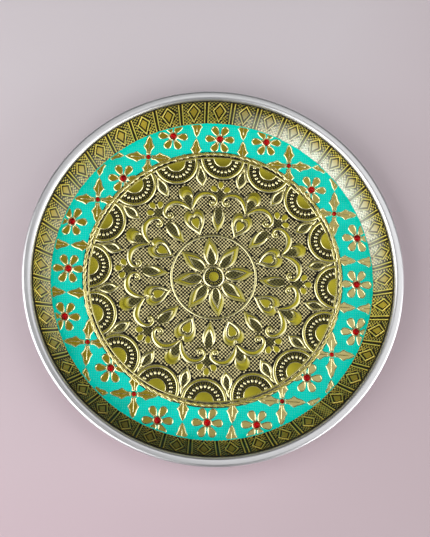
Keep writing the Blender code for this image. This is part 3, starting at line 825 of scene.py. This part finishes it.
# Radii and shares of the rise, as turned_boss spins them
BOSS = ((0.0, 0.85), (3.2, 0.85), (3.7, 0.7), (4.0, 0.0), (0.0, 0.0))
BOSS_RING = ((6.5, 0.0), (6.8, 0.7), (7.4, 1.0), (8.0, 0.7), (8.4, 0.0))
EYE = ((0.0, 1.0), (0.7, 0.9), (1.3, 0.5), (1.5, 0.0), (0.0, 0.0))
BOSS_TICKS = 22
TICK_OUTER = ((4.5, -0.28), (6.2, -0.36), (6.2, 0.36), (4.5, 0.28))
TICK_INNER = ((4.8, -0.08), (5.9, -0.1), (5.9, 0.1), (4.8, 0.08))
HEART_DISC = 3.1
PETAL_DISC = 2.4
BOSS_FACE = (5.0, 6.5)
BOSS_REACH = 8.5
FAN_RADIUS = 17.2
FAN_BEAD = ((9.4, 0.0), (9.8, 0.75), (11.2, 1.15), (12.1, 0.85), (12.4, 0.0))
FAN_STEPS = 44
FAN_TICKED = ((7.8, 9.1), (12.5, 14.1))
TICK_DEPTH = 0.22 * MM
FAN_MARGIN = 0.8
FAN_INSET = 0.8
MOAT = 0.42
FAINT_STUD = 0.6


def rim_motif(outer, inner, root, rise, sharp_head=False, profile=FLAT_RIM, parts=4, full=1.5):
    """Motif whose rim stands round a sunk field."""
    return embossed(leaf_shape(outer, sharp_head=sharp_head, parts=parts),
                    leaf_shape(inner, sharp_head=sharp_head, parts=parts), profile, root, rise, full)


def grown(outline, distance):
    """The outline, which runs clockwise, moved outwards by the distance."""
    points = [Vector(point) for point in outline]
    moved = []
    for before, point, after in zip(points[-1:] + points[:-1], points, points[1:] + points[:1]):
        along = (after - before).normalized()
        moved.append(point + Vector((-along.y, along.x)) * distance)
    return moved


def medallion_fields(sizes):
    """Outlines of the motifs in one sector, from one heart's axis to the next, each with the outline
    of the blackened margin round it and that one's reach."""
    step = 180.0 / sizes.rosette_fold
    disc = arc((SMALL_HEART, 0.0), HEART_DISC, 180.0, -180.0, 15)[:-1]
    scroll = ribbon(SCROLL_PATH, 2)[0]
    mirrored = [(x, -y) for x, y in reversed(scroll)]
    shapes = [(reflected(LEAF_OUTER), 0.0), (disc, 0.0), (reflected(STAR_OUTER), step / 2)]
    for x, y in SMALL_PETALS:
        shapes.append((arc((x, y), PETAL_DISC, 180.0, -180.0, 9)[:-1], 0.0))
    for side in (-1, 1):
        shapes += [(reflected(SPEAR_OUTER), side * step / 2), (reflected(HEART_OUTER), side * step),
                   (reflected(BUD_OUTER), side * step), (scroll, side * step), (mirrored, side * step)]
    fields = []
    for outline, turn in shapes:
        swing = Matrix.Rotation(math.radians(turn), 2)
        field, moat = ([swing @ Vector(point) for point in line] for line in (outline, grown(outline, MOAT)))
        across, along = zip(*moat)
        fields.append((field, moat, (min(across), max(across), min(along), max(along))))
    return fields


def make_medallion(sizes, colours):
    ground = bottom_of("medallion_foil") + sizes.foil
    root, rise = root_and_rise(sizes, ground)
    gold = embossed_foil("medallion_foil", ground, ground + sizes.relief, colours, colours.olive,
                         colours.gold)
    stud_top = ground + sizes.stud_rise
    studs = embossed_foil("medallion_studs", ground, stud_top, colours, colours.stud_gold, colours.stud_gold,
                          wiped=(0.5, 0.62), rough=(0.7, 0.5), metal=0.25)
    fields = embossed_foil("medallion_fields", ground, stud_top, colours, colours.stud_olive,
                           colours.stud_olive, wiped=(0.1, 0.6), rough=(0.7, 0.5), metal=0.25)
    make_medallion_ground(sizes, studs, fields, ground)
    make_medallion_rim(sizes, gold, ground)
    make_rosette(sizes, gold, root, rise)
    make_fans(sizes, gold, root, rise)


def make_medallion_ground(sizes, studs, faint_studs, ground):
    """Studded disc, with only faint studs inside the motifs and the fans."""
    fields = medallion_fields(sizes)
    sector = math.tau / sizes.rosette_fold
    fan_centre = sizes.medallion - FAN_INSET * MM
    fan_reach = (FAN_RADIUS + FAN_MARGIN) * MM

    def rise_of(point):
        radius = point.xy.length
        turn = (math.atan2(point.y, point.x) - sizes.rosette_turn + sector / 2) % sector - sector / 2
        x = radius * math.cos(turn) / MM
        y = radius * math.sin(turn) / MM
        from_fan = min(math.hypot(radius * math.cos(turn - place) - fan_centre,
                                  radius * math.sin(turn - place))
                       for place in (-sector / 2, 0.0, sector / 2))
        near = [(field, moat) for field, moat, (low, high, left, right) in fields
                if low < x < high and left < y < right and holds(moat, x, y)]
        on_boss = BOSS_FACE[0] < radius / MM < BOSS_FACE[1]
        under_ring = abs(radius / MM - STAR_RING) < STAR_RING_MARGIN
        if on_boss or any(holds(field, x, y) for field, moat in near):
            return sizes.stud_rise * FAINT_STUD
        flat = near or under_ring or radius < BOSS_REACH * MM or from_fan < fan_reach
        return 0.0 if flat else sizes.stud_rise

    bm = bmesh.new()
    studded_ground(bm, -1.0, sizes.medallion - 1.0 * MM, sizes.stud, ground, rise_of)
    obj = finish_piece(new_object(bm, "medallion_ground"), studs, ["medallion_foil"],
                       crease=5.0)
    obj.data.materials.append(faint_studs)
    # Faces that rise to a faint stud take the second finish
    for face in obj.data.polygons:
        highest = max(obj.data.vertices[i].co.z for i in face.vertices) - ground
        face.material_index = int(0.2 < highest / sizes.stud_rise < 0.9)


def make_medallion_rim(sizes, gold, ground):
    bm = bmesh.new()
    low = bottom_of("medallion_foil") / MM
    high = ground / MM
    rim = sizes.medallion / MM
    profile = [(rim + across, high + up) for across, up in MEDALLION_EDGE]
    turned_profile(bm, [(0.0, profile[0][1]), *profile, (rim, low), (0.0, low)], ROUND_STEPS)
    finish_piece(new_object(bm, "medallion_rim"), gold)


def make_rosette(sizes, gold, root, rise):
    leaf_axis = math.degrees(sizes.rosette_turn)
    fold = sizes.rosette_fold
    heart_axis = leaf_axis + 180.0 / fold
    between = leaf_axis + 90.0 / fold
    bm = bmesh.new()
    place(bm, rim_motif(STAR_OUTER, STAR_INNER, root, rise, sharp_head=True), round_places(fold, between))
    hearts = rim_motif(HEART_OUTER, HEART_INNER, root, rise, sharp_head=True)
    field = leaf_shape(HEART_FIELD, sharp_head=True)
    emboss(hearts, field, shrunk(field, 0.2), PAD, root, rise * 0.72, full=0.01)
    place(bm, hearts, round_places(fold, heart_axis))
    place(bm, rim_motif(LEAF_OUTER, LEAF_INNER, root, rise), round_places(fold, leaf_axis))
    place(bm, rim_motif(BUD_OUTER, BUD_INNER, root, rise * 1.05), round_places(fold, heart_axis))
    place(bm, rim_motif(SPEAR_OUTER, SPEAR_INNER, root, rise * 0.95), round_places(2 * fold, between))
    for side in (1.0, -1.0):
        path = [(x, side * y, width) for x, y, width in SCROLL_PATH]
        scroll = embossed(*ribbon(path), FLAT_HALF, root, rise, full=0.9)
        turned_boss(scroll, EYE, root, rise, 16, centre=(SCROLL_EYE[0], side * SCROLL_EYE[1]))
        place(bm, scroll, round_places(fold, heart_axis))
    for x, y in SMALL_PETALS:
        lean = math.degrees(math.atan2(y, x - SMALL_HEART))
        petal = leaf_shape(SMALL_PETAL, sharp_foot=False, parts=3)
        motif = embossed(petal, shrunk(petal, 0.25), PAD, root, rise * 0.8, full=0.01)
        swing = Matrix.Translation((x * MM, y * MM, 0.0)) @ Matrix.Rotation(math.radians(lean), 4, "Z")
        place(bm, motif, [turn @ swing for turn in round_places(fold, leaf_axis)])
    turned_profile(bm, [(STAR_RING + across, root + up) for across, up in STAR_RING_PROFILE], 160)
    turned_boss(bm, BOSS_RING, root, rise, 72)
    turned_boss(bm, BOSS, root, rise, 48)
    tick = embossed(TICK_OUTER, TICK_INNER, PAD, root, rise * 0.5, full=0.01)
    place(bm, tick, round_places(BOSS_TICKS, 0.0))
    finish_piece(new_object(bm, "medallion_rosette"), gold)


def make_fans(sizes, gold, root, rise):
    """Half-round fans that stand on the medallion's edge, each with a row of beads."""
    edge = sizes.medallion / MM - FAN_INSET
    fan = bmesh.new()
    low, half, flat, high = root + 0.12, root + rise * 0.26, root + rise * 0.68, root + rise * 0.95
    profile = [(0.0, flat), (6.2, flat), (6.6, high - 0.1), (7.0, flat), (7.3, low), (7.7, low), (7.9, half),
               (9.0, half), (9.2, low), (12.4, low), (12.6, half), (14.0, half), (14.2, low), (14.6, low),
               (14.9, flat), (15.4, high), (16.2, high), (16.8, flat), (FAN_RADIUS, root), (0.0, root)]
    chord = math.degrees(math.asin(FAN_RADIUS / (2 * edge)))
    sweep = 180.0 - 2 * chord
    turned_profile(fan, profile, FAN_STEPS, centre=(edge, 0.0), start=90.0 + chord, sweep=sweep)
    for vert in fan.verts:
        x = vert.co.x / MM - edge
        y = vert.co.y / MM
        radius = math.hypot(x, y)
        ticked = any(inner < radius < outer for inner, outer in FAN_TICKED)
        step = round((math.degrees(math.atan2(y, x)) % 360.0 - 90.0 - chord) / sweep * FAN_STEPS)
        if ticked and step % 2 and vert.co.z > (root + 0.2) * MM:
            vert.co.z -= TICK_DEPTH
    outline = leaf_shape(FAN_BEAD, sharp_foot=False, parts=2)
    bead = embossed(outline, shrunk(outline, 0.85), HALF_ROUND, root, rise * 0.95, full=0.01)
    beads = []
    for i in range(sizes.beads):
        turn = 90.0 + chord + sweep * (i + 0.5) / sizes.beads
        beads.append(Matrix.Translation((edge * MM, 0.0, 0.0)) @ Matrix.Rotation(math.radians(turn), 4, "Z"))
    place(fan, bead, beads)
    fans = gathered(fan, round_places(2 * sizes.rosette_fold, math.degrees(sizes.rosette_turn)))
    finish_piece(new_object(fans, "medallion_fans"), gold)


# Trellis foil

PETAL_OUTER = ((2.4, 0.0), (3.7, 1.55), (6.2, 2.6), (8.7, 3.05), (10.7, 2.25), (11.6, 0.0))
PETAL_INNER = ((3.8, 0.0), (4.7, 0.8), (6.6, 1.75), (8.6, 2.2), (9.9, 1.6), (10.6, 0.0))
ARM_OUTER = ((2.2, 1.9), (4.0, 1.8), (5.6, 2.2), (7.2, 3.3), (8.8, 4.5), (10.2, 3.7), (11.6, 2.9),
             (13.4, 2.5), (15.6, 1.7), (18.0, 0.0))
ARM_INNER = ((3.4, 0.9), (4.2, 0.8), (5.6, 1.2), (7.1, 2.2), (8.6, 3.3), (9.7, 2.7), (11.0, 2.0), (13.0, 1.6),
             (14.9, 0.9), (16.4, 0.0))
ARM_RIB = ((3.0, 0.45), (6.0, 0.6), (10.0, 0.6), (13.0, 0.75), (13.9, 0.0))
THIN_RIM = ((0.0, 0.0), (0.02, 0.45), (0.55, 0.97), (0.7, 1.0), (0.8, 0.95), (1.0, 0.72))
# Radii and shares of the rise of the wells that hold the drops
HEART = ((0.0, 0.7), (2.4, 0.8), (2.9, 1.0), (3.5, 0.64), (3.9, 0.0), (0.0, 0.0))
CROSS_HEART = ((0.0, 0.7), (1.5, 0.7), (1.8, 1.0), (2.1, 1.0), (2.4, 0.0), (0.0, 0.0))
PETAL_WAYS = (0.0, 62.0, 118.0, 180.0, 242.0, 298.0)
GRID_REACH = 4
RING_GAP = 0.05
TRIM = 0.1
TRIM_HEIGHT = 5.0


def cross_places(sizes):
    """Places midway between the flowers' rows, as far as a cross there reaches into the ring."""
    reach = sizes.trellis_pitch / 2
    turn = Matrix.Rotation(sizes.trellis_turn, 2)
    rows = [(i + 0.5) * sizes.trellis_pitch for i in range(-GRID_REACH, GRID_REACH + 1)]
    places = [turn @ Vector((x, y)) for x in rows for y in rows]
    return [place for place in places
            if sizes.medallion - reach < place.length < sizes.trellis_outer + reach]


def open_half(half):
    """Closed outline of an arm that is cut off square at its foot."""
    return list(half) + [(x, -y) for x, y in reversed(half) if y > 0.0]


def trellis_families(root, rise):
    """Motifs of a flower and of a cross, in families whose members stand clear of each other."""
    petal = rim_motif(PETAL_OUTER, PETAL_INNER, root, rise, profile=THIN_RIM, parts=3, full=0.4)
    petals = gathered(petal, [Matrix.Rotation(math.radians(way), 4, "Z") for way in PETAL_WAYS])
    heart = bmesh.new()
    turned_boss(heart, HEART, root, rise, 24)
    arm = embossed(open_half(ARM_OUTER), open_half(ARM_INNER), THIN_RIM, root, rise, full=0.5)
    arms = gathered(arm, round_places(4, 0.0))
    outline = open_half(ARM_RIB)
    middle = [(x, 0.0) for x, y in outline]
    rib = embossed(outline, middle, HALF_ROUND, root + 0.3, rise - 0.15, full=0.01)
    ribs = gathered(rib, round_places(4, 0.0))
    small = bmesh.new()
    turned_boss(small, CROSS_HEART, root, rise, 20)
    return (("petals", petals, True), ("hearts", heart, True), ("arms", arms, False), ("ribs", ribs, False),
            ("small_hearts", small, False))


def turned_band(inner, outer, low, high, name):
    bm = bmesh.new()
    turned_profile(bm, [(inner, high), (outer, high), (outer, low), (inner, low)], ROUND_STEPS)
    return new_object(bm, name)


def make_trellis(sizes, colours):
    low = bottom_of("trellis_foil")
    ground = low + sizes.foil
    root, rise = root_and_rise(sizes, ground)
    inner = sizes.medallion / MM + RING_GAP
    outer = sizes.trellis_outer / MM
    # The trellis foil carries a painted sheen that grows towards the near right
    gold = embossed_foil("trellis_foil", ground, ground + sizes.relief, colours, colours.bronze, colours.gold,
                         wear_and_glare=painted_sheen_near)
    crosses = cross_places(sizes)
    for name, family, of_flower in trellis_families(root, rise):
        places = at_places(FLOWER_PLACES if of_flower else crosses, sizes.trellis_turn)
        motifs = new_object(gathered(family, places), "trellis_" + name)
        keep_inside(motifs, turned_band(inner + TRIM, outer - TRIM, 0.0, TRIM_HEIGHT, "band"))
        finish_piece(motifs, gold, crease=35.0)
    band = turned_band(inner, outer, low / MM, root + ROOT_DEPTH, "trellis_ground")
    finish_piece(band, gold, ["trellis_foil"])


# Turquoise enamel

ENAMEL_LIFT = 0.05 * MM
ENAMEL_OVER_FOLD = 1.1 * MM
ENAMEL_FROM_ROPE = 0.4 * MM


def enamel_level():
    return bottom_of("turquoise_enamel") + ENAMEL_LIFT


def make_enamel(sizes, colours):
    """Flood of enamel whose face still shows the weave of the ground under it, slanting to the trellis."""
    outer = outer_radius("turquoise_enamel") + ENAMEL_OVER_FOLD
    inner = outer_radius("rope_ring") + ENAMEL_FROM_ROPE
    woven = outer - 2 * sizes.weave
    bm = bmesh.new()
    studded_ground(bm, inner, outer, sizes.weave, enamel_level(),
                   lambda point: sizes.weave_rise * (point.xy.length < woven))
    slant = Matrix.Rotation(sizes.trellis_turn + math.pi / 4, 3, "Z")
    bmesh.ops.rotate(bm, verts=bm.verts, cent=(0.0, 0.0, 0.0), matrix=slant)
    finish_piece(new_object(bm, "enamel_flood"), turquoise_enamel(colours),
                 ["turquoise_enamel"], crease=5.0)


# Rope ring

ROPE_WIDTH = 2.8 * MM
STRAND_RADIUS = 0.3 * ROPE_WIDTH
POINTS_A_TURN = 12
ROPE_DARK_DEPTH = 0.4 * MM


def make_rope(sizes, colours):
    """Strands that wind round the ring's middle line, flattened to the rope's height."""
    low = bottom_of("rope_ring")
    high = top_of("rope_ring")
    middle = outer_radius("rope_ring") - ROPE_WIDTH / 2
    swing = ROPE_WIDTH / 2 - STRAND_RADIUS
    curve = bpy.data.curves.new("rope", "CURVE")
    curve.dimensions = "3D"
    curve.bevel_depth = STRAND_RADIUS
    curve.bevel_resolution = 2
    count = round(math.tau * middle / sizes.twist) * POINTS_A_TURN
    for strand in range(sizes.strands):
        spline = curve.splines.new("POLY")
        spline.points.add(count - 1)
        spline.use_cyclic_u = True
        for i, point in enumerate(spline.points):
            along = math.tau * i / count
            wind = -math.tau * (i / POINTS_A_TURN + strand / sizes.strands)
            radius = middle + swing * math.cos(wind)
            point.co = (radius * math.cos(along), radius * math.sin(along), swing * math.sin(wind), 1.0)
    holder = bpy.data.objects.new("rope", curve)
    bpy.context.scene.collection.objects.link(holder)
    mesh = finished_mesh(holder)
    bpy.data.objects.remove(holder)
    bpy.data.curves.remove(curve)
    squeeze = (high - low) / ROPE_WIDTH
    lift = Matrix.Translation((0.0, 0.0, (high + low) / 2))
    mesh.transform(lift @ Matrix.Diagonal((1.0, 1.0, squeeze, 1.0)))
    bm = bmesh.new()
    bm.from_mesh(mesh)
    bpy.data.meshes.remove(mesh)
    gold = embossed_foil("rope_foil", low - ROPE_DARK_DEPTH, high, colours, colours.rope, colours.gold)
    finish_piece(new_object(bm, "rope_strands"), gold, ["rope_ring"], crease=60.0)


# Border strip on the wall. It is laid out flat, with +X round the plate and +Y from the fold up
# the wall, and is then bent to the dish. Its motifs are drawn in millimetres.

RIDGE = ((0.0, 0.0), (0.25, 0.75), (0.45, 1.0), (0.55, 1.0), (0.75, 0.75), (1.0, 0.0))
WAIST = 0.6
KITE_INSETS = (0.0, 1.4, 2.3, 2.8)
BORDER_ROOT_DEPTH = 0.05
DIAMOND_MARGIN = 0.7
BAR_MARGIN = 0.9
OUTSIDE_BAR = 0.2
SEAM_MARGIN = 1.2 * MM
BORDER_CUTS = (0.7, 1.4, 2.1, 2.8, 3.5)
BORDER_SIDE_CUTS = (-2.5, 0.0, 2.5)
# The border carries painted glare low on the wall and painted shade high on the wall
BORDER_FINISH = {"rough": (0.5, 0.36), "metal": 0.35, "on_wall": True, "wear_and_glare": painted_glare_low, "painted_shade": painted_shade_sides}


def strip_point(dish, along, lift):
    """Radius and height of the strip at a length from its foot, the lift off the middle of the steel."""
    reach = dish.corner - dish.strip_lift
    start = math.radians(-90.0) + dish.strip_foot
    turn = start + along / reach
    end = dish.wall_angle - math.radians(90.0)
    if turn < end:
        return corner_centre(dish) + Vector((math.cos(turn), math.sin(turn))) * (dish.corner - lift)
    return wall_point(dish, lift) + wall_direction(dish) * (along - (end - start) * reach)


def strip_length(dish):
    fold = dish.wall_angle - dish.strip_foot
    return fold * (dish.corner - dish.strip_lift) + wall_length(dish) - dish.strip_top_gap


def strip_radius(dish):
    """Radius at which the flat drawing keeps its length round the plate."""
    return strip_point(dish, strip_length(dish) / 2, dish.strip_lift).x


def bend(bm, dish, ground, seam):
    for vert in bm.verts:
        point = strip_point(dish, vert.co.y, ground + vert.co.z)
        turn = seam + vert.co.x / strip_radius(dish)
        vert.co = (point.x * math.cos(turn), point.x * math.sin(turn), point.y)


def kite(half, low, waist, high, inset):
    """Corners of a kite whose sides are drawn in by the inset."""
    upper = math.sin(math.atan2(half, high - waist))
    lower = math.sin(math.atan2(half, waist - low))
    middle = Vector((0.0, (high * upper + low * lower) / (upper + lower)))
    share = 1.0 - inset / ((high - middle.y) * upper)
    corners = ((0.0, low), (-half, waist), (0.0, high), (half, waist))
    return [middle + (Vector(corner) - middle) * share for corner in corners]


def stroke(start, end, half):
    """Outline of a straight stroke and its middle line."""
    along = (Vector(end) - Vector(start)).normalized() * half
    side = Vector((-along.y, along.x))
    outer = [Vector(start) - side, Vector(start) + side, Vector(end) + side, Vector(end) - side]
    spine = [Vector(start) + along, Vector(start) + along, Vector(end) - along, Vector(end) - along]
    return outer, spine


def border_motif(sizes, length, root, rise):
    """One diamond with its boss and the lines that echo it, and the bars on both sides of it."""
    low = sizes.end_gap / MM
    high = length - low
    waist = WAIST * length
    half = sizes.half_width / MM
    motif = bmesh.new()
    frame, hollow, boss, top = (kite(half, low, waist, high, inset) for inset in KITE_INSETS)
    emboss(motif, frame, hollow, RIDGE, root, rise, full=0.1)
    emboss(motif, boss, top, PAD, root, rise * 0.6, full=0.1)
    for side in (-1, 1):
        echo = stroke((side * (half + 0.9), waist - 3.0), (side * 2.3, low + 0.4), 0.4)
        emboss(motif, *echo, HALF_ROUND, root, rise * 0.6, full=0.1)
        bar = stroke((side * sizes.bar / MM, low), (side * sizes.bar / MM, high), 0.7)
        emboss(motif, *bar, HALF_ROUND, root, rise, full=0.1)
    slice_motif(motif, Vector((0.0, 1.0, 0.0)), (*BORDER_CUTS, waist))
    slice_motif(motif, Vector((1.0, 0.0, 0.0)), BORDER_SIDE_CUTS)
    return motif


def slice_motif(motif, direction, places):
    """Cuts the motif's faces across, so that they can bend there."""
    for distance in places:
        geometry = motif.verts[:] + motif.edges[:] + motif.faces[:]
        bmesh.ops.bisect_plane(motif, geom=geometry, dist=0.001 * MM, plane_co=direction * (distance * MM),
                               plane_no=direction)


def make_border(sizes, dish, colours):
    ground = dish.strip_lift + bpy.context.scene.plate_foil.foil / 2
    around = strip_radius(dish)
    pitch = (math.tau - 2 * sizes.first) / (sizes.diamonds - 1) * around
    first = sizes.first * around
    motif = border_motif(sizes, strip_length(dish) / MM, -BORDER_ROOT_DEPTH,
                         sizes.relief / MM + BORDER_ROOT_DEPTH)
    places = [Matrix.Translation((first + pitch * i, 0.0, 0.0)) for i in range(sizes.diamonds)]
    bm = gathered(motif, places)
    bend(bm, dish, ground, sizes.seam)
    gold = embossed_foil("border_foil", ground, ground + sizes.relief, colours, colours.border_flat,
                         colours.border_gold, **BORDER_FINISH)
    finish_piece(new_object(bm, "border_motifs"), gold, crease=35.0)
    studs = embossed_foil("border_studs", ground, ground + sizes.stud_rise, colours, colours.border_stud,
                          colours.border_stud, wiped=(0.48, 0.64), **BORDER_FINISH)
    make_border_ground(sizes, dish, studs, pitch, first, ground)


def make_border_ground(sizes, dish, studs, pitch, first, ground):
    """Strip's sheet with its studs, whose end laps over its start, pressed flat there."""
    lap_lift = bpy.context.scene.plate_foil.foil / 3
    length = strip_length(dish)
    once = math.tau * strip_radius(dish)
    lap = sizes.lap * strip_radius(dish)
    around = once + lap
    rows = round(length / sizes.stud_up)
    columns = round(around / sizes.stud)
    half = sizes.half_width / MM + DIAMOND_MARGIN
    seam_gap = first - sizes.bar - SEAM_MARGIN
    bm = bmesh.new()
    bmesh.ops.create_grid(bm, x_segments=columns, y_segments=rows, size=0.5)
    for vert in bm.verts:
        column = round((vert.co.x + 0.5) * columns)
        row = round((vert.co.y + 0.5) * rows)
        x = around * column / columns
        y = length * row / rows
        beside = abs((x - first + pitch / 2) % pitch - pitch / 2) / MM
        level = y / length
        reach = half * min(1.0, (1.0 - level) / (1.0 - WAIST), level / WAIST)
        from_bar = beside - sizes.bar / MM
        clear = beside > reach and abs(from_bar) > BAR_MARGIN and from_bar < OUTSIDE_BAR
        beside_seam = not seam_gap < x < once - seam_gap
        stands = (clear or beside_seam) and x > lap + sizes.stud
        lifted = x > once - sizes.stud
        vert.co = (x, y, sizes.stud_rise * ((column + row) % 2) * stands + lap_lift * lifted)
    bmesh.ops.poke(bm, faces=bm.faces)
    bend(bm, dish, ground, sizes.seam)
    finish_piece(new_object(bm, "border_ground"), studs, ["border_strip"], crease=5.0)


# Red drops

DROP_EDGE = 0.12
DOME_STEPS = 8


def make_drops(colours):
    """Domes that rise from a low upright edge."""
    nodes = nodes_named("red_drop_") + nodes_named("small_red_drop_")
    bm = bmesh.new()
    for name in nodes:
        low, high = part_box(name)
        radius = (high.x - low.x) / 2 / MM
        bottom = low.z / MM
        height = (high.z - low.z) / MM
        dome = [(radius * math.sin(turn), bottom + height * (DROP_EDGE + (1.0 - DROP_EDGE) * math.cos(turn)))
                for turn in (math.pi / 2 * i / DOME_STEPS for i in range(DOME_STEPS + 1))]
        x, y = middle_of(name)
        turned_profile(bm, dome + [(radius, bottom), (0.0, bottom)], 28, centre=(x / MM, y / MM))
    finish_piece(new_object(bm, "enamel_drops"), red_enamel(colours), nodes)


# Stage

# Name, azimuth and elevation in degrees, distance in metres, and size
SOFTBOXES = (("key", 201.0, 40.0, 1.0, (1.5, 0.8)), ("fill", -8.0, 38.0, 1.3, (1.2, 1.1)),
             ("low", 200.0, 14.0, 1.2, (1.4, 0.4)), ("side", -28.0, 16.0, 1.3, (1.4, 0.5)),
             ("front", 268.0, 24.0, 1.1, (1.8, 0.7)), ("top", 8.0, 76.0, 1.2, (0.8, 0.8)),
             ("back", 84.0, 66.0, 1.25, (1.3, 0.4)), ("horizon", 90.0, 12.0, 1.4, (2.0, 0.5)))
FLOOR_HALF = 3.0
AIM_HEIGHT = 1.8 * MM


def make_stage(settings, colours):
    bm = bmesh.new()
    bmesh.ops.create_grid(bm, x_segments=1, y_segments=1, size=FLOOR_HALF)
    floor = new_object(bm, "floor")
    floor.data.materials.append(pale_floor(colours))
    add_camera(settings, Vector((settings.aim_x, settings.aim_y, AIM_HEIGHT)))
    for name, *where in SOFTBOXES:
        add_softbox(name, getattr(settings, name + "_power"), *where)
    add_world(settings)
    bpy.context.scene.view_settings.view_transform = "Standard"


def add_camera(settings, aim):
    """Looks down at the plate, leaning back towards the near left."""
    ahead = Vector((math.sin(settings.heading), math.cos(settings.heading), 0.0))
    across = Vector((math.cos(settings.heading), -math.sin(settings.heading), 0.0))
    back = Vector((0.0, 0.0, math.cos(settings.tilt))) - ahead * math.sin(settings.tilt)
    upright = ahead * math.cos(settings.tilt) + Vector((0.0, 0.0, math.sin(settings.tilt)))
    right = across * math.cos(settings.roll) + upright * math.sin(settings.roll)
    up = upright * math.cos(settings.roll) - across * math.sin(settings.roll)
    data = bpy.data.cameras.new("camera")
    data.sensor_fit = "HORIZONTAL"
    data.lens = data.sensor_width * settings.focal_pixels / IMAGE_WIDTH
    camera = bpy.data.objects.new("camera", data)
    axes = Matrix((right, up, back)).transposed().to_4x4()
    camera.matrix_world = Matrix.Translation(aim + back * settings.distance) @ axes
    bpy.context.scene.collection.objects.link(camera)
    bpy.context.scene.camera = camera


def add_softbox(name, power, azimuth, elevation, distance, size):
    data = bpy.data.lights.new(name, "AREA")
    data.energy = power
    data.shape = "RECTANGLE"
    data.size, data.size_y = size
    light = bpy.data.objects.new(name, data)
    x, y = polar(math.cos(math.radians(elevation)), azimuth)
    direction = Vector((x, y, math.sin(math.radians(elevation))))
    light.location = direction * distance
    light.rotation_euler = direction.to_track_quat("Z", "Y").to_euler()
    bpy.context.scene.collection.objects.link(light)


def add_world(settings):
    world = bpy.data.worlds.new("studio")
    world.use_nodes = True
    background = world.node_tree.nodes["Background"]
    background.inputs["Color"].default_value = (1.0, 1.0, 1.0, 1.0)
    background.inputs["Strength"].default_value = settings.ambient
    bpy.context.scene.world = world


# Operators

class PLATE_OT_steel_dish(bpy.types.Operator):
    """Spin the steel dish with its rolled rim"""
    bl_idname = "plate.steel_dish"
    bl_label = "Steel Dish"

    def execute(self, context):
        make_steel_dish(context.scene.plate_dish, context.scene.plate_colours)
        return {"FINISHED"}


class PLATE_OT_medallion(bpy.types.Operator):
    """Emboss the medallion in the middle of the floor"""
    bl_idname = "plate.medallion"
    bl_label = "Medallion"

    def execute(self, context):
        make_medallion(context.scene.plate_foil, context.scene.plate_colours)
        return {"FINISHED"}


class PLATE_OT_trellis(bpy.types.Operator):
    """Emboss the trellis of flowers and crosses round the medallion"""
    bl_idname = "plate.trellis"
    bl_label = "Trellis"

    def execute(self, context):
        make_trellis(context.scene.plate_foil, context.scene.plate_colours)
        return {"FINISHED"}


class PLATE_OT_enamel(bpy.types.Operator):
    """Flood the ground of the trellis with turquoise enamel"""
    bl_idname = "plate.enamel"
    bl_label = "Turquoise Enamel"

    def execute(self, context):
        make_enamel(context.scene.plate_foil, context.scene.plate_colours)
        return {"FINISHED"}


class PLATE_OT_rope(bpy.types.Operator):
    """Twist the rope ring between the medallion and the trellis"""
    bl_idname = "plate.rope"
    bl_label = "Rope Ring"

    def execute(self, context):
        make_rope(context.scene.plate_rope, context.scene.plate_colours)
        return {"FINISHED"}


class PLATE_OT_border(bpy.types.Operator):
    """Emboss the border strip on the wall"""
    bl_idname = "plate.border"
    bl_label = "Border Strip"

    def execute(self, context):
        scene = context.scene
        make_border(scene.plate_border, scene.plate_dish, scene.plate_colours)
        return {"FINISHED"}


class PLATE_OT_drops(bpy.types.Operator):
    """Set the drops of red enamel in the flowers and crosses"""
    bl_idname = "plate.drops"
    bl_label = "Red Drops"

    def execute(self, context):
        make_drops(context.scene.plate_colours)
        return {"FINISHED"}


class PLATE_OT_stage(bpy.types.Operator):
    """Set up the pale floor, the soft light and the camera"""
    bl_idname = "plate.stage"
    bl_label = "Stage"

    def execute(self, context):
        make_stage(context.scene.plate_studio, context.scene.plate_colours)
        return {"FINISHED"}


OPERATORS = (PLATE_OT_steel_dish, PLATE_OT_medallion, PLATE_OT_trellis, PLATE_OT_enamel, PLATE_OT_rope,
             PLATE_OT_border, PLATE_OT_drops, PLATE_OT_stage)
GROUPS = {"plate_dish": DishSizes, "plate_foil": FoilSizes, "plate_border": BorderSizes,
          "plate_rope": RopeSizes, "plate_colours": PlateColours, "plate_studio": StudioSettings}


class PLATE_PT_panel(bpy.types.Panel):
    """Lists the plate's pieces and their sizes and colours"""
    bl_idname = "PLATE_PT_panel"
    bl_label = "Enamel Plate"
    bl_space_type = "VIEW_3D"
    bl_region_type = "UI"
    bl_category = "Plate"

    def draw(self, context):
        for operator in OPERATORS:
            self.layout.operator(operator.bl_idname)
        for name, group in GROUPS.items():
            column = self.layout.box().column()
            for setting in group.__annotations__:
                column.prop(getattr(context.scene, name), setting)


def register():
    for cls in (*GROUPS.values(), *OPERATORS, PLATE_PT_panel):
        bpy.utils.register_class(cls)
    for name, group in GROUPS.items():
        setattr(bpy.types.Scene, name, PointerProperty(type=group))


def unregister():
    for name in GROUPS:
        delattr(bpy.types.Scene, name)
    for cls in reversed((*GROUPS.values(), *OPERATORS, PLATE_PT_panel)):
        bpy.utils.unregister_class(cls)


def main():
    register()
    bpy.ops.plate.steel_dish()
    bpy.ops.plate.medallion()
    bpy.ops.plate.trellis()
    bpy.ops.plate.enamel()
    bpy.ops.plate.rope()
    bpy.ops.plate.border()
    bpy.ops.plate.drops()
    bpy.ops.plate.stage()


if __name__ == "__main__":
    main()
